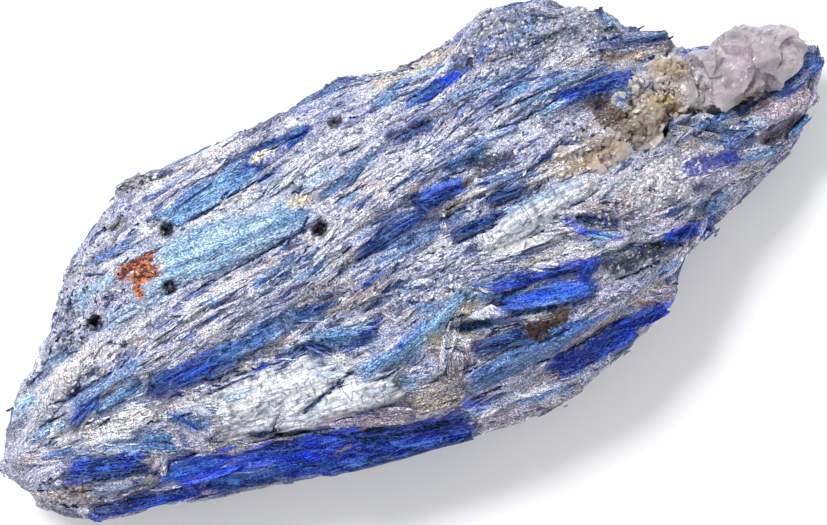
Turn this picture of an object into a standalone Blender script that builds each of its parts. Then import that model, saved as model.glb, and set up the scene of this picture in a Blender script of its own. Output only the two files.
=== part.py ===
"""Kyanite blade cluster: one hand specimen, a sheaf of intergrown kyanite blades with a quartz mass.

+X runs along the blades, +Y across them, +Z up.  The specimen lies on its flattest side, and the
origin is under its middle, on the surface that it rests on.  The tables are in millimetres.
"""
import math
import random

import bmesh
import bpy
from mathutils import Matrix, Vector
from mathutils.bvhtree import BVHTree

# ---- driving dimensions, in millimetres -------------------------------------------------------
LENGTH = 120.0           # tip to tip
TABLE_LENGTH = 120.0     # the length at which the tables below are drawn
SKIN = 0.7               # how far the small blades stand out of the upper face
FLANK_SKIN = 0.45        # and out of the flanks
GAP = 0.4                # clearance between the quartz and the socket that it sits in
FACET_JITTER = 0.8       # unevenness of the broken surfaces
TOP_BLADES = 58          # small blades scattered over the upper face
SIDE_BLADES = 46         # small blades scattered over the flanks
BLADE_LENGTH = (7.0, 16.0)
BLADE_WIDTH = (1.4, 4.2)
BLADE_THICK = (3.0, 4.4)
BLADE_ROLL = 18.0        # most that a small blade is turned about its length, in degrees
BLADE_PITCH = 4.0        # most that it dips at one end, in degrees
SIDE_MOULDS = 16         # hollows left on the flanks by blades that broke away
BASE_MOULDS = 14         # and the same on the underside
MOULD_LENGTH = (9.0, 22.0)
MOULD_WIDTH = (2.4, 5.0)
MOULD_DEPTH = (0.8, 1.3)
BASE_CLEAR = (22.0, 10.0)  # half sizes of the patch in the middle of the underside kept free of them

SEED = 7
METRES = 0.001 * LENGTH / TABLE_LENGTH
GOLDEN_ANGLE = math.radians(137.508)

# x, near edge y, far edge y, lowest z, highest z of the mass at stations along the blades
STATIONS = [
    (-59.6, -3.1, -1.4, 8.5, 12.0),
    (-57.8, -6.6, 0.8, 6.4, 14.6),
    (-55.6, -11.0, 4.5, 4.4, 17.0),
    (-52.0, -12.8, 7.2, 2.6, 19.4),
    (-48.0, -14.2, 9.9, 1.2, 21.2),
    (-44.0, -14.9, 15.0, 0.0, 23.0),
    (-40.0, -15.0, 18.8, 0.0, 24.2),
    (-36.0, -16.0, 21.9, 0.0, 25.0),
    (-31.0, -17.5, 23.6, 0.0, 26.0),
    (-26.0, -19.0, 24.9, 0.0, 26.6),
    (-20.0, -21.1, 24.4, 0.0, 27.0),
    (-14.0, -22.5, 24.4, 0.0, 27.6),
    (-8.0, -23.2, 24.5, 0.0, 28.0),
    (-3.5, -24.5, 24.9, 0.0, 28.0),
    (2.0, -24.4, 25.6, 0.0, 28.0),
    (8.0, -25.6, 23.9, 0.0, 27.6),
    (12.5, -24.9, 23.4, 0.0, 27.2),
    (17.0, -23.3, 24.0, 0.0, 26.8),
    (21.0, -22.7, 25.2, 0.0, 26.6),
    (25.0, -21.0, 25.1, 0.0, 26.2),
    (28.4, -18.4, 23.8, 0.0, 25.6),
    (33.0, -14.3, 21.2, 0.0, 24.2),
    (37.0, -13.0, 17.6, 0.0, 22.4),
    (40.6, -11.8, 13.8, 0.4, 19.6),
    (44.0, -10.5, 9.4, 1.2, 16.6),
    (49.0, -8.7, 8.6, 2.6, 14.0),
    (53.5, -6.7, 7.9, 4.4, 12.8),
    (57.0, -2.0, 6.6, 6.4, 11.8),
    (59.5, 0.6, 2.6, 7.8, 10.5),
]

# one cross section from the near edge over the top and back under: share of width, share of height
SECTION = [
    (0.00, 0.36), (0.07, 0.60), (0.17, 0.82), (0.32, 0.93), (0.50, 1.00), (0.68, 0.98),
    (0.84, 0.90), (0.95, 0.68), (1.00, 0.44), (0.94, 0.18), (0.80, 0.00), (0.24, 0.00),
    (0.07, 0.14),
]

# large blades of the upper face: x and y of both ends, width, how far it stands out, roll in degrees
BROAD_BLADES = [
    (-36.0, 11.2, -10.0, 12.8, 7.6, 1.5, -3.0),
    (-27.0, 18.0, -11.5, 19.8, 3.4, 1.4, -6.0),
    (-20.0, 21.9, -4.5, 21.9, 1.6, 1.0, 8.0),
    (-13.5, 19.2, -3.5, 21.0, 1.4, 0.8, -10.0),
    (-29.0, 23.2, -13.5, 23.3, 2.4, 0.9, 14.0),
    (-13.0, 23.6, 4.0, 24.0, 2.4, 0.9, 12.0),
    (-58.5, -1.2, -47.0, 0.4, 3.4, 1.0, 6.0),
    (-50.0, 0.6, -36.5, 2.2, 2.6, 1.3, -8.0),
    (-37.2, -1.6, -19.0, -0.6, 3.6, 1.3, 7.0),
    (-48.0, 4.6, -37.5, 6.2, 3.2, 1.1, -9.0),
    (-36.0, 5.6, -23.0, 6.6, 2.6, 1.0, 10.0),
    (-22.0, 5.0, -11.0, 6.6, 3.4, 1.0, -7.0),
    (-45.0, 8.6, -37.0, 9.8, 3.0, 1.0, 8.0),
    (-42.5, 14.0, -33.5, 15.6, 3.2, 1.0, -8.0),
    (-38.0, 18.2, -30.0, 19.2, 2.4, 1.0, 9.0),
    (-52.5, -4.4, -41.0, -10.2, 3.8, 1.3, 8.0),
    (-53.0, -11.2, -38.5, -13.6, 2.6, 1.1, 14.0),
    (-41.0, -11.8, -31.5, -14.0, 3.4, 1.4, 10.0),
    (-31.0, -14.2, -15.5, -18.2, 3.4, 1.5, 12.0),
    (-36.0, -15.2, -20.0, -19.4, 2.6, 1.0, 8.0),
    (-21.0, -19.0, -2.5, -22.2, 3.4, 1.4, 10.0),
    (-29.0, -6.4, -15.5, -8.8, 4.6, 1.2, 5.0),
    (-24.0, -10.0, -9.0, -13.2, 4.2, 1.2, 9.0),
    (-17.0, -3.2, -8.5, -6.2, 2.8, 1.1, -9.0),
    (-12.0, -10.8, 4.0, -7.2, 3.6, 1.4, -8.0),
    (-15.0, -0.6, -2.0, 0.2, 2.2, 0.9, 8.0),
    (-7.0, 3.6, 4.0, 4.6, 3.0, 1.2, -8.0),
    (3.4, 5.4, 10.0, 6.4, 3.2, 1.9, 6.0),
    (6.4, 0.8, 12.2, 0.6, 2.0, 1.1, -8.0),
    (11.8, 2.9, 17.0, 2.7, 1.6, 1.0, 8.0),
    (9.0, -1.8, 25.0, -0.2, 4.0, 1.3, -6.0),
    (10.0, -4.0, 18.5, -4.4, 1.8, 1.2, 9.0),
    (6.5, -7.9, 21.5, -9.8, 2.2, 1.7, -9.0),
    (8.0, -10.4, 19.5, -12.4, 3.2, 1.5, 5.0),
    (2.6, -13.9, 10.4, -15.0, 2.2, 1.1, 9.0),
    (-0.5, -17.6, 15.5, -17.0, 4.2, 1.2, -5.0),
    (-5.5, -14.0, 0.8, -12.0, 3.6, 1.2, 9.0),
    (11.0, -21.0, 27.6, -19.6, 3.4, 1.6, 8.0),
    (-1.0, -20.8, 12.5, -21.6, 2.6, 1.3, 9.0),
    (-7.0, 16.6, 6.0, 18.6, 2.6, 1.0, -9.0),
    (6.8, 18.0, 15.4, 19.6, 2.2, 1.2, 8.0),
    (-8.0, 12.8, 3.0, 14.8, 2.2, 1.0, -9.0),
    (4.6, 14.8, 10.2, 14.9, 1.6, 0.9, 9.0),
    (10.0, 15.4, 22.0, 16.6, 2.6, 1.0, -8.0),
    (18.0, 12.4, 33.5, 12.4, 2.6, 1.2, -6.0),
    (23.6, 10.4, 35.6, 10.0, 3.2, 1.6, 7.0),
    (8.0, 9.2, 16.0, 10.0, 2.2, 1.0, 8.0),
    (-4.0, 8.8, 7.0, 10.0, 2.0, 0.9, -8.0),
    (20.0, 18.6, 30.0, 18.8, 4.6, 1.1, 7.0),
    (27.0, 18.4, 36.4, 18.2, 3.8, 1.5, -9.0),
    (18.0, 22.4, 29.6, 22.2, 3.4, 1.2, 10.0),
    (33.0, 17.0, 40.6, 15.6, 2.8, 1.4, 10.0),
    (33.0, 14.0, 43.0, 12.4, 3.8, 1.8, 9.0),
    (36.5, 1.4, 43.0, 2.2, 2.0, 1.2, -9.0),
    (38.0, -0.4, 48.0, 0.4, 2.0, 1.2, 8.0),
    (42.4, 9.5, 48.2, 9.3, 1.5, 2.2, 10.0),
    (47.0, -3.4, 54.5, -1.6, 3.0, 1.3, 8.0),
    (45.0, -6.0, 55.2, -4.6, 2.6, 1.2, 12.0),
    (36.0, -5.6, 44.0, -6.6, 3.4, 1.2, -8.0),
    (31.0, -9.0, 42.0, -9.8, 2.6, 1.2, 10.0),
    (30.5, -11.8, 38.0, -12.2, 2.4, 1.4, 8.0),
    (24.0, -10.4, 32.6, -13.4, 1.8, 1.2, -9.0),
    (20.6, -4.6, 26.8, -9.0, 2.2, 1.2, 9.0),
    (22.0, -15.0, 29.0, -16.4, 3.2, 1.1, 9.0),
]

# blades whose ends make the tips, steps and notches of the outline: both ends, width, thickness, roll
RIM_BLADES = [
    ((-50.0, -1.6, 13.0), (-60.0, -2.3, 10.4), 3.6, 3.0, 8.0),
    ((-47.0, 4.0, 15.0), (-57.6, -0.2, 12.0), 3.4, 3.4, -12.0),
    ((-44.0, 6.9, 17.0), (-52.2, 5.7, 14.6), 2.4, 3.6, 12.0),
    ((-46.0, -9.0, 12.0), (-57.2, -7.6, 9.4), 3.6, 4.2, -14.0),
    ((53.0, -0.6, 10.6), (60.0, 1.6, 9.6), 2.6, 3.4, 10.0),
    ((55.6, 6.6, 10.0), (59.6, 2.0, 9.6), 2.4, 3.4, -12.0),
    ((47.0, -5.6, 8.0), (57.0, -2.2, 8.6), 3.2, 3.6, 12.0),
    ((2.0, -22.0, 13.0), (13.2, -23.8, 11.0), 3.4, 2.6, 14.0),
    ((3.0, -23.0, 10.0), (10.4, -25.0, 9.0), 1.8, 2.4, 6.0),
    ((21.0, -17.0, 14.0), (29.9, -17.7, 12.4), 2.4, 2.6, 8.0),
    ((24.0, -13.0, 17.0), (31.2, -14.6, 15.4), 1.6, 2.6, 12.0),
    ((-41.0, -14.4, 12.0), (-34.2, -16.6, 10.0), 1.6, 3.0, 6.0),
    ((29.0, 16.8, 15.0), (36.4, 17.9, 16.0), 3.6, 5.0, 10.0),
    ((33.0, 12.4, 13.0), (43.0, 11.8, 12.6), 3.8, 4.6, -10.0),
    ((22.0, 22.6, 14.0), (30.6, 22.8, 15.0), 3.0, 5.0, 12.0),
]

# quartz lumps: centre and half sizes
QUARTZ_LUMPS = [
    ((50.6, 4.8, 13.6), (8.2, 4.9, 6.0)),
    ((44.6, 4.6, 15.0), (6.6, 4.6, 5.0)),
    ((50.6, 6.0, 12.8), (4.6, 3.7, 4.6)),
    ((38.8, 5.8, 17.0), (6.4, 5.2, 4.6)),
    ((32.6, 4.2, 20.0), (7.2, 5.2, 4.4)),
    ((26.4, 2.6, 22.0), (6.2, 3.2, 3.6)),
]

# lumps of granular rock on the rim: centre and half sizes
ROCK_LUMPS = [
    ((-28.9, 20.4, 16.0), (4.4, 5.0, 7.0)),
    ((-45.0, 8.4, 14.5), (4.2, 3.6, 6.0)),
    ((22.6, 19.6, 16.0), (8.4, 5.8, 9.4)),
    ((31.0, 16.4, 17.6), (5.6, 4.8, 7.2)),
]

# weathered-out holes of the upper face: x, y, half sizes along and across, depth
PITS = [
    (-40.4, 10.0, 1.3, 1.0, 2.6),
    (-29.4, 10.2, 0.9, 0.9, 2.4),
    (-26.8, 17.0, 1.1, 0.8, 2.4),
    (-1.4, 20.5, 1.0, 0.7, 2.2),
    (-8.8, 8.6, 1.1, 0.9, 2.4),
    (31.0, 8.0, 2.6, 1.6, 2.4),
    (24.2, -4.9, 2.6, 1.1, 2.4),
    (3.4, -11.2, 2.8, 0.9, 2.2),
]


def blend(edge_a, edge_b, value):
    """0 before edge_a, 1 after edge_b, smooth in between."""
    share = min(1.0, max(0.0, (value - edge_a) / (edge_b - edge_a)))
    return share * share * (3.0 - 2.0 * share)


def grain(x, y):
    """Direction that the blades run in at a place, in degrees from +X: the sheaf fans out."""
    upper = 7.0 - 12.0 * blend(20.0, 46.0, x)
    fan = math.exp(-((x + 3.0) / 9.0) ** 2)
    lower = -14.0 + 23.0 * fan + 7.0 * blend(5.0, 40.0, x)
    return lower + (upper - lower) * blend(-6.0, 3.0, y) + 16.0 * blend(44.0, 58.0, x)


def mass_mesh(rng):
    """The body of the specimen: stations joined by flat facets, uneven as broken rock is."""
    bm = bmesh.new()
    rings = []
    for x, near, far, low, high in STATIONS:
        ring = []
        for across, up in SECTION:
            y = near + (far - near) * across
            z = low + (high - low) * up
            loose = FACET_JITTER * min(1.0, (far - near) / 20.0)
            if across in (0.0, 1.0):
                shift = (0.0, 0.0, rng.uniform(-1.2, 1.2) * loose)
            elif up == 0.0:
                shift = (rng.uniform(-1.0, 1.0) * loose, rng.uniform(-2.0, 2.0) * loose, 0.0)
            else:
                shift = [rng.uniform(-1.0, 1.0) * loose for _ in range(3)]
            ring.append(bm.verts.new((x + shift[0], y + shift[1], z + shift[2])))
        rings.append(ring)
    count = len(SECTION)
    for ring, following in zip(rings, rings[1:]):
        for i in range(count):
            j = (i + 1) % count
            bm.faces.new((ring[i], ring[j], following[j], following[i]))
    bm.faces.new(rings[0][::-1])
    bm.faces.new(rings[-1])
    bmesh.ops.triangulate(bm, faces=bm.faces[:])
    bmesh.ops.recalc_face_normals(bm, faces=bm.faces[:])
    return bm


def blade_solid(place, length, width, thick, slants, taper):
    """One flat crystal: a six-sided section, and two ends broken off aslant."""
    bm = bmesh.new()
    half = 0.5 * width
    bevel = min(0.32 * width, 0.45 * thick)
    section = [
        (half, 0.0), (half - bevel, 0.5 * thick), (bevel - half, 0.5 * thick),
        (-half, 0.0), (bevel - half, -0.5 * thick), (half - bevel, -0.5 * thick),
    ]
    ends = []
    for side, slant, narrow in ((-1.0, slants[0], 1.0), (1.0, slants[1], taper)):
        corners = []
        for y, z in section:
            x = side * 0.5 * length + slant * y - side * 0.25 * abs(slant) * z
            corners.append(bm.verts.new(place @ Vector((x, y * narrow, z))))
        ends.append(corners)
    first, last = ends
    for i in range(6):
        j = (i + 1) % 6
        bm.faces.new((first[i], first[j], last[j], last[i]))
    bm.faces.new(first[::-1])
    bm.faces.new(last)
    bmesh.ops.recalc_face_normals(bm, faces=bm.faces[:])
    return bm


def frame_of(along, outward, middle, roll, pitch=0.0):
    """Matrix whose X runs along the blade and whose Z faces outward, turned by the roll and pitch."""
    x_axis = along.normalized()
    y_axis = outward.cross(x_axis).normalized()
    z_axis = x_axis.cross(y_axis)
    turn = Matrix((x_axis, y_axis, z_axis)).transposed().to_4x4()
    turn = turn @ Matrix.Rotation(math.radians(pitch), 4, 'Y')
    return Matrix.Translation(middle) @ turn @ Matrix.Rotation(math.radians(roll), 4, 'X')


def drop(tree, x, y):
    """The point of the upper face above a place."""
    hit = tree.ray_cast(Vector((x, y, 90.0)), Vector((0.0, 0.0, -1.0)))
    return hit[0], hit[1]


def surface_near(tree, x, y):
    """The upper face above a place, or the nearest surface where the place is off the edge."""
    point, normal = drop(tree, x, y)
    if point is None:
        point, normal = tree.find_nearest(Vector((x, y, 14.0)))[:2]
    return point, normal


def broad_blades(tree, rng):
    """The large blades that can be told apart on the upper face."""
    solids = []
    for x0, y0, x1, y1, width, proud, roll in BROAD_BLADES:
        start, normal_a = surface_near(tree, x0, y0)
        end, normal_b = surface_near(tree, x1, y1)
        middle, normal_m = surface_near(tree, 0.5 * (x0 + x1), 0.5 * (y0 + y1))
        outward = (normal_a + normal_b + 2.0 * normal_m).normalized()
        thick = 2.0 * proud + 2.0
        level = 0.25 * (start + end) + 0.5 * middle
        place = frame_of(end - start, outward, level + outward * (proud - 0.5 * thick), roll)
        slants = (rng.uniform(-0.8, 0.8), rng.uniform(-0.8, 0.8))
        taper = rng.uniform(0.55, 1.0)
        solids.append(blade_solid(place, (end - start).length, width, thick, slants, taper))
    return solids


def rim_blades():
    """The blades that reach the outline, from inside the mass to their free ends."""
    solids = []
    for start, end, width, thick, roll in RIM_BLADES:
        start = Vector(start)
        end = Vector(end)
        middle = 0.5 * (start + end)
        outward = Vector((0.0, 0.25 * (1.0 if middle.y > 0.0 else -1.0), 1.0)).normalized()
        place = frame_of(end - start, outward, middle, roll)
        solids.append(blade_solid(place, (end - start).length, width, thick, (0.25, -0.25), 0.7))
    return solids


def small_blade(tree, rng, point, outward):
    """A small blade lying in the surface at a point, no longer than the surface carries."""
    angle = math.radians(grain(point.x, point.y) + rng.uniform(-7.0, 7.0))
    along = Vector((math.cos(angle), math.sin(angle), 0.0))
    along = (along - outward * along.dot(outward)).normalized()
    length = rng.uniform(*BLADE_LENGTH)
    for _ in range(6):
        ends = [point + along * (0.5 * length * side) for side in (-1.0, 1.0)]
        gaps = [(tree.find_nearest(end)[0] - end).length for end in ends]
        if max(gaps) < 0.8:
            break
        length *= 0.8
    width = rng.uniform(*BLADE_WIDTH)
    proud = rng.uniform(0.4, 1.0) * (SKIN if outward.z > 0.6 else FLANK_SKIN)
    thick = rng.uniform(*BLADE_THICK)
    middle = point + outward * (proud - 0.5 * thick)
    roll = rng.uniform(-BLADE_ROLL, BLADE_ROLL)
    place = frame_of(along, outward, middle, roll, rng.uniform(-BLADE_PITCH, BLADE_PITCH))
    slants = (rng.uniform(-1.0, 1.0), rng.uniform(-1.0, 1.0))
    return blade_solid(place, length, width, thick, slants, rng.uniform(0.35, 1.0))


def top_blades(tree, rng):
    """Small blades between the broad ones."""
    solids = []
    while len(solids) < TOP_BLADES:
        x = rng.uniform(-56.0, 44.0)
        y = rng.uniform(-24.0, 25.0)
        point, normal = drop(tree, x, y)
        if point is None or normal.z < 0.35:
            continue
        solids.append(small_blade(tree, rng, point, normal))
    return solids


def flank_point(tree, rng):
    """A place on the flanks, found by looking in from the side; none if it is no flank."""
    x = rng.uniform(-55.0, 55.0)
    turn = math.radians(rng.choice((-1.0, 1.0)) * rng.uniform(-45.0, 50.0))
    side = rng.choice((-1.0, 1.0))
    look = Vector((0.0, side * math.cos(turn), math.sin(turn)))
    point, normal = tree.ray_cast(Vector((x, 0.5, 11.0)) + look * 60.0, -look)[:2]
    if point is None or normal.z > 0.6 or abs(normal.x) > 0.9 or point.z < 2.0:
        return None, None
    return point, normal


def side_blades(tree, rng):
    """Small blades on the flanks."""
    solids = []
    while len(solids) < SIDE_BLADES:
        point, normal = flank_point(tree, rng)
        if point is not None:
            solids.append(small_blade(tree, rng, point, normal))
    return solids


def lump_solid(centre, half_sizes, rng, points):
    """An angular lump: the hull of points spread evenly, but not quite, over an ellipsoid."""
    bm = bmesh.new()
    for i in range(points):
        height = 1.0 - 2.0 * (i + 0.5) / points
        turn = GOLDEN_ANGLE * i + rng.uniform(-0.3, 0.3)
        reach = math.sqrt(1.0 - height * height)
        spot = (reach * math.cos(turn), height, reach * math.sin(turn))
        bm.verts.new([c + h * v for c, h, v in zip(centre, half_sizes, spot)])
    bmesh.ops.convex_hull(bm, input=bm.verts[:])
    bmesh.ops.recalc_face_normals(bm, faces=bm.faces[:])
    return bm


def mould_solid(rng, point, outward):
    """The hollow that a broken-off blade leaves in the surface at a point."""
    angle = math.radians(grain(point.x, point.y) + rng.uniform(-8.0, 8.0))
    along = Vector((math.cos(angle), math.sin(angle), 0.0))
    along = (along - outward * along.dot(outward)).normalized()
    place = frame_of(along, outward, point, rng.uniform(-9.0, 9.0))
    slants = (rng.uniform(-0.6, 0.6), rng.uniform(-0.6, 0.6))
    length = rng.uniform(*MOULD_LENGTH)
    width = rng.uniform(*MOULD_WIDTH)
    thick = 2.0 * rng.uniform(*MOULD_DEPTH)
    return blade_solid(place, length, width, thick, slants, rng.uniform(0.7, 1.0))


def mould_solids(tree, rng):
    """Hollows of lost blades on the flanks and the underside."""
    solids = []
    while len(solids) < SIDE_MOULDS:
        point, normal = flank_point(tree, rng)
        if point is not None:
            solids.append(mould_solid(rng, point, normal))
    while len(solids) < SIDE_MOULDS + BASE_MOULDS:
        x = rng.uniform(-40.0, 36.0)
        y = rng.uniform(-14.0, 17.0)
        if abs(x) > BASE_CLEAR[0] or abs(y) > BASE_CLEAR[1]:
            solids.append(mould_solid(rng, Vector((x, y, 0.0)), Vector((0.0, 0.0, -1.0))))
    return solids


def new_object(name, bm):
    """An object from a mesh in the tables' millimetres, at its real size in metres."""
    bmesh.ops.scale(bm, vec=(METRES, METRES, METRES), verts=bm.verts[:])
    mesh = bpy.data.meshes.new(name)
    bm.to_mesh(mesh)
    bm.free()
    obj = bpy.data.objects.new(name, mesh)
    bpy.context.scene.collection.objects.link(obj)
    return obj


def box_of(bm):
    """Lowest and highest corners of a solid."""
    low = [min(vert.co[i] for vert in bm.verts) for i in range(3)]
    high = [max(vert.co[i] for vert in bm.verts) for i in range(3)]
    return low, high


def apart(box, others):
    """Whether a box stays clear of all the others."""
    low, high = box
    return all(
        any(high[i] < other_low[i] or low[i] > other_high[i] for i in range(3))
        for other_low, other_high in others
    )


def layers(solids):
    """The solids sorted into groups within which none touches another."""
    groups = []
    for solid in solids:
        box = box_of(solid)
        for members, boxes in groups:
            if apart(box, boxes):
                break
        else:
            members, boxes = [], []
            groups.append((members, boxes))
        members.append(solid)
        boxes.append(box)
    return [members for members, _ in groups]


def merged(solids):
    """Several solids as one mesh."""
    bm = bmesh.new()
    for solid in solids:
        mesh = bpy.data.meshes.new("piece")
        solid.to_mesh(mesh)
        solid.free()
        bm.from_mesh(mesh)
        bpy.data.meshes.remove(mesh)
    return bm


def combine(obj, solids, operation):
    """Join or cut the solids one group at a time, and keep the result as the object's own mesh.

    The blades cross in thin slivers, where the exact solver leaves open edges, so the manifold
    solver does this: within each group the solids stand clear of each other.
    """
    for group in layers(solids):
        other = new_object("tool", merged(group))
        other.hide_render = True
        other.display_type = 'WIRE'
        mod = obj.modifiers.new(operation.lower(), 'BOOLEAN')
        mod.operation = operation
        mod.solver = 'MANIFOLD'
        mod.object = other
        graph = bpy.context.evaluated_depsgraph_get()
        result = bpy.data.meshes.new_from_object(obj.evaluated_get(graph))
        obj.modifiers.clear()
        obj.data = result
        bpy.data.objects.remove(other)


def keep_outer_skin(obj):
    """Drop any hollow that the blades closed in, and keep the one outer skin."""
    bm = bmesh.new()
    bm.from_mesh(obj.data)
    left = set(bm.faces)
    shells = []
    while left:
        shell = [left.pop()]
        for face in shell:
            for edge in face.edges:
                for neighbour in edge.link_faces:
                    if neighbour in left:
                        left.discard(neighbour)
                        shell.append(neighbour)
        shells.append(shell)
    shells.sort(key=len)
    for shell in shells[:-1]:
        bmesh.ops.delete(bm, geom=shell, context='FACES')
    bm.to_mesh(obj.data)
    bm.free()


def paint(obj, name, colour, roughness, transmission=0.0):
    """The piece's own material."""
    mat = bpy.data.materials.new(name)
    mat.use_nodes = True
    shader = mat.node_tree.nodes["Principled BSDF"]
    shader.inputs["Base Color"].default_value = (*colour, 1.0)
    shader.inputs["Roughness"].default_value = roughness
    shader.inputs["Metallic"].default_value = 0.0
    shader.inputs["Transmission Weight"].default_value = transmission
    mat.diffuse_color = (*colour, 1.0)
    obj.data.materials.clear()
    obj.data.materials.append(mat)


def quartz_lumps(grow):
    """The quartz mass, or with some growth the socket that it sits in."""
    rng = random.Random(SEED + 5)
    solids = []
    for centre, half_sizes in QUARTZ_LUMPS:
        solids.append(lump_solid(centre, [half + grow for half in half_sizes], rng, 22))
    return solids


def pit_solids(tree):
    """The hollows of the upper face."""
    rng = random.Random(SEED + 9)
    solids = []
    for x, y, along, across, depth in PITS:
        point = drop(tree, x, y)[0] + Vector((0.0, 0.0, SKIN))
        solids.append(lump_solid(point, (along, across, depth), rng, 12))
    return solids


def floor_cutter():
    """Everything below the resting plane."""
    bm = bmesh.new()
    bmesh.ops.create_cube(bm, size=1.0)
    bmesh.ops.scale(bm, vec=(200.0, 120.0, 40.0), verts=bm.verts[:])
    bmesh.ops.translate(bm, vec=(0.0, 0.0, -20.0), verts=bm.verts[:])
    return bm


def make_kyanite():
    """The blades and the mass they grow from, one solid, with the quartz's socket cut out."""
    rng = random.Random(SEED)
    mass = mass_mesh(rng)
    tree = BVHTree.FromBMesh(mass)
    solids = broad_blades(tree, rng) + rim_blades()
    solids += top_blades(tree, rng) + side_blades(tree, rng)
    for centre, half_sizes in ROCK_LUMPS:
        solids.append(lump_solid(centre, half_sizes, rng, 26))
    hollows = pit_solids(tree) + mould_solids(tree, rng)

    kyanite = new_object("kyanite_blades", mass)
    combine(kyanite, solids, 'UNION')
    combine(kyanite, hollows, 'DIFFERENCE')
    combine(kyanite, quartz_lumps(GAP), 'DIFFERENCE')
    combine(kyanite, [floor_cutter()], 'DIFFERENCE')
    keep_outer_skin(kyanite)
    paint(kyanite, "kyanite", (0.16, 0.24, 0.42), 0.35)


def make_quartz():
    """The milky quartz at the right end and along the stained hollow."""
    lumps = quartz_lumps(0.0)
    quartz = new_object("quartz", lumps[0])
    combine(quartz, lumps[1:], 'UNION')
    keep_outer_skin(quartz)
    paint(quartz, "quartz", (0.74, 0.66, 0.66), 0.3, transmission=0.2)


def build():
    """The whole specimen."""
    for obj in list(bpy.data.objects):
        bpy.data.objects.remove(obj)
    make_kyanite()
    make_quartz()


build()
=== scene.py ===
import math

import bpy
import numpy as np
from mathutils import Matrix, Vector
from mathutils.bvhtree import BVHTree


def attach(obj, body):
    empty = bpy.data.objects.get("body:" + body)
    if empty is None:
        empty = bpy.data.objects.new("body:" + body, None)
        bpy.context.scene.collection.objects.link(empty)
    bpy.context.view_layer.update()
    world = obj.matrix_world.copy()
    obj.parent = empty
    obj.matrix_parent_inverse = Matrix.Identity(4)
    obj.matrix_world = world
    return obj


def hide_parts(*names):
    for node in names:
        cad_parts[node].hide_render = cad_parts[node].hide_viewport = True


# Kyanite blade cluster: looks. Tables are in millimetres on the specimen's own plan:
# x along the blades, y across them, z up from the surface that it rests on.

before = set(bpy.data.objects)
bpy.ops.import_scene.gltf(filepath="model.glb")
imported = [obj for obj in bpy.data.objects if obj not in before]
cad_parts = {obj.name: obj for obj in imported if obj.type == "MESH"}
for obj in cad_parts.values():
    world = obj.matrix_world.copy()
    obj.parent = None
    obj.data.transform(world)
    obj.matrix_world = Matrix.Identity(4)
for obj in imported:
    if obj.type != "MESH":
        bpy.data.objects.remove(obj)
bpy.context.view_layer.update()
mm = 0.001
plan = ((-61.0, -26.0), (61.0, 26.0))       # the ground that the specimen covers
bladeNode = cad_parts["kyanite_blades"]
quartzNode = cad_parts["quartz"]

# everyday sRGB colours, 0 to 255
palette = {
    "ink": (4, 10, 40), "navy": (4, 16, 92), "deep": (2, 16, 150), "cobalt": (8, 50, 210),
    "royal": (42, 94, 204), "blue": (92, 138, 192), "steel": (70, 104, 158), "slate": (92, 118, 164),
    "sky": (126, 168, 208), "ice": (172, 198, 226), "pale": (202, 208, 226), "silk": (238, 240, 248),
    "lilac": (188, 184, 210), "pink": (196, 180, 194), "haze": (164, 168, 194), "grey": (132, 134, 148),
    "mist": (204, 202, 218), "frost": (226, 230, 242), "dusk": (48, 60, 100), "char": (36, 38, 50),
    # the first colour on the next line is near black: it serves for dark cracks, and for painted shade
    # in the partings, holes and hollows and under the edges of the blades
    "crack": (10, 10, 22), "tan": (208, 196, 178), "cream": (238, 222, 190), "bone": (220, 214, 216),
    "clay": (170, 160, 162), "umber": (92, 68, 48), "gold": (190, 156, 96), "rust": (188, 104, 48),
    "ember": (88, 30, 12), "olive": (128, 116, 80), "rose": (168, 156, 164), "milk": (196, 190, 196),
    "garnet": (50, 8, 10), "petal": (192, 179, 188),
}


def linear(name):
    # a palette colour as the renderer counts it
    tone = np.array(palette[name], float) / 255.0
    return np.where(tone <= 0.04045, tone / 12.92, ((tone + 0.055) / 1.055) ** 2.4)


def smoothStep(low, high, value):
    share = np.clip((value - low) / (high - low), 0.0, 1.0)
    return share * share * (3.0 - 2.0 * share)


def blendTo(colour, target, weight):
    return colour + (target - colour) * np.asarray(weight)[:, None]


def cellNumber(cells, seed):
    # a repeatable number from 0 to 1 for every cell of a grid
    mixed = cells[:, 0] * 374761393 + cells[:, 1] * 668265263 + cells[:, 2] * 1103515245
    mixed = (mixed + seed * 974634777) & 0xffffffff
    mixed = ((mixed ^ (mixed >> 13)) * 1274126177) & 0xffffffff
    mixed = mixed ^ (mixed >> 16)
    return (mixed & 0xffffff) / 16777215.0


def softNoise(points, seed):
    # smooth noise from 0 to 1, one lump to a cell
    low = np.floor(points).astype(np.int64)
    share = points - low
    share = share * share * (3.0 - 2.0 * share)
    total = np.zeros(len(points))
    for corner in range(8):
        step = np.array((corner & 1, corner >> 1 & 1, corner >> 2 & 1))
        weight = np.prod(np.where(step, share, 1.0 - share), axis=1)
        total += weight * cellNumber(low + step, seed)
    return total


def roughNoise(points, seed, octaves=3):
    total, reach, size = 0.0, 0.0, 1.0
    for octave in range(octaves):
        total = total + size * softNoise(points * 2.0 ** octave, seed + 17 * octave)
        reach += size
        size *= 0.5
    return total / reach


def grainAngle(x, y):
    # degrees from +x; the sheaf fans out
    upper = 7.0 - 12.0 * smoothStep(20.0, 46.0, x)
    fan = np.exp(-((x + 3.0) / 8.0) ** 2)
    lower = -14.0 + 26.0 * fan + 7.0 * smoothStep(5.0, 40.0, x)
    return lower + (upper - lower) * smoothStep(-6.0, 3.0, y) + 16.0 * smoothStep(44.0, 58.0, x)


def bladeAngle(points):
    # the same in bundles that share a direction, in radians
    wander = 12.0 * (softNoise(points[:, :3] / (9.0, 4.0, 6.0), 5) - 0.5)
    return np.radians(grainAngle(points[:, 0], points[:, 1]) + wander)


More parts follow.
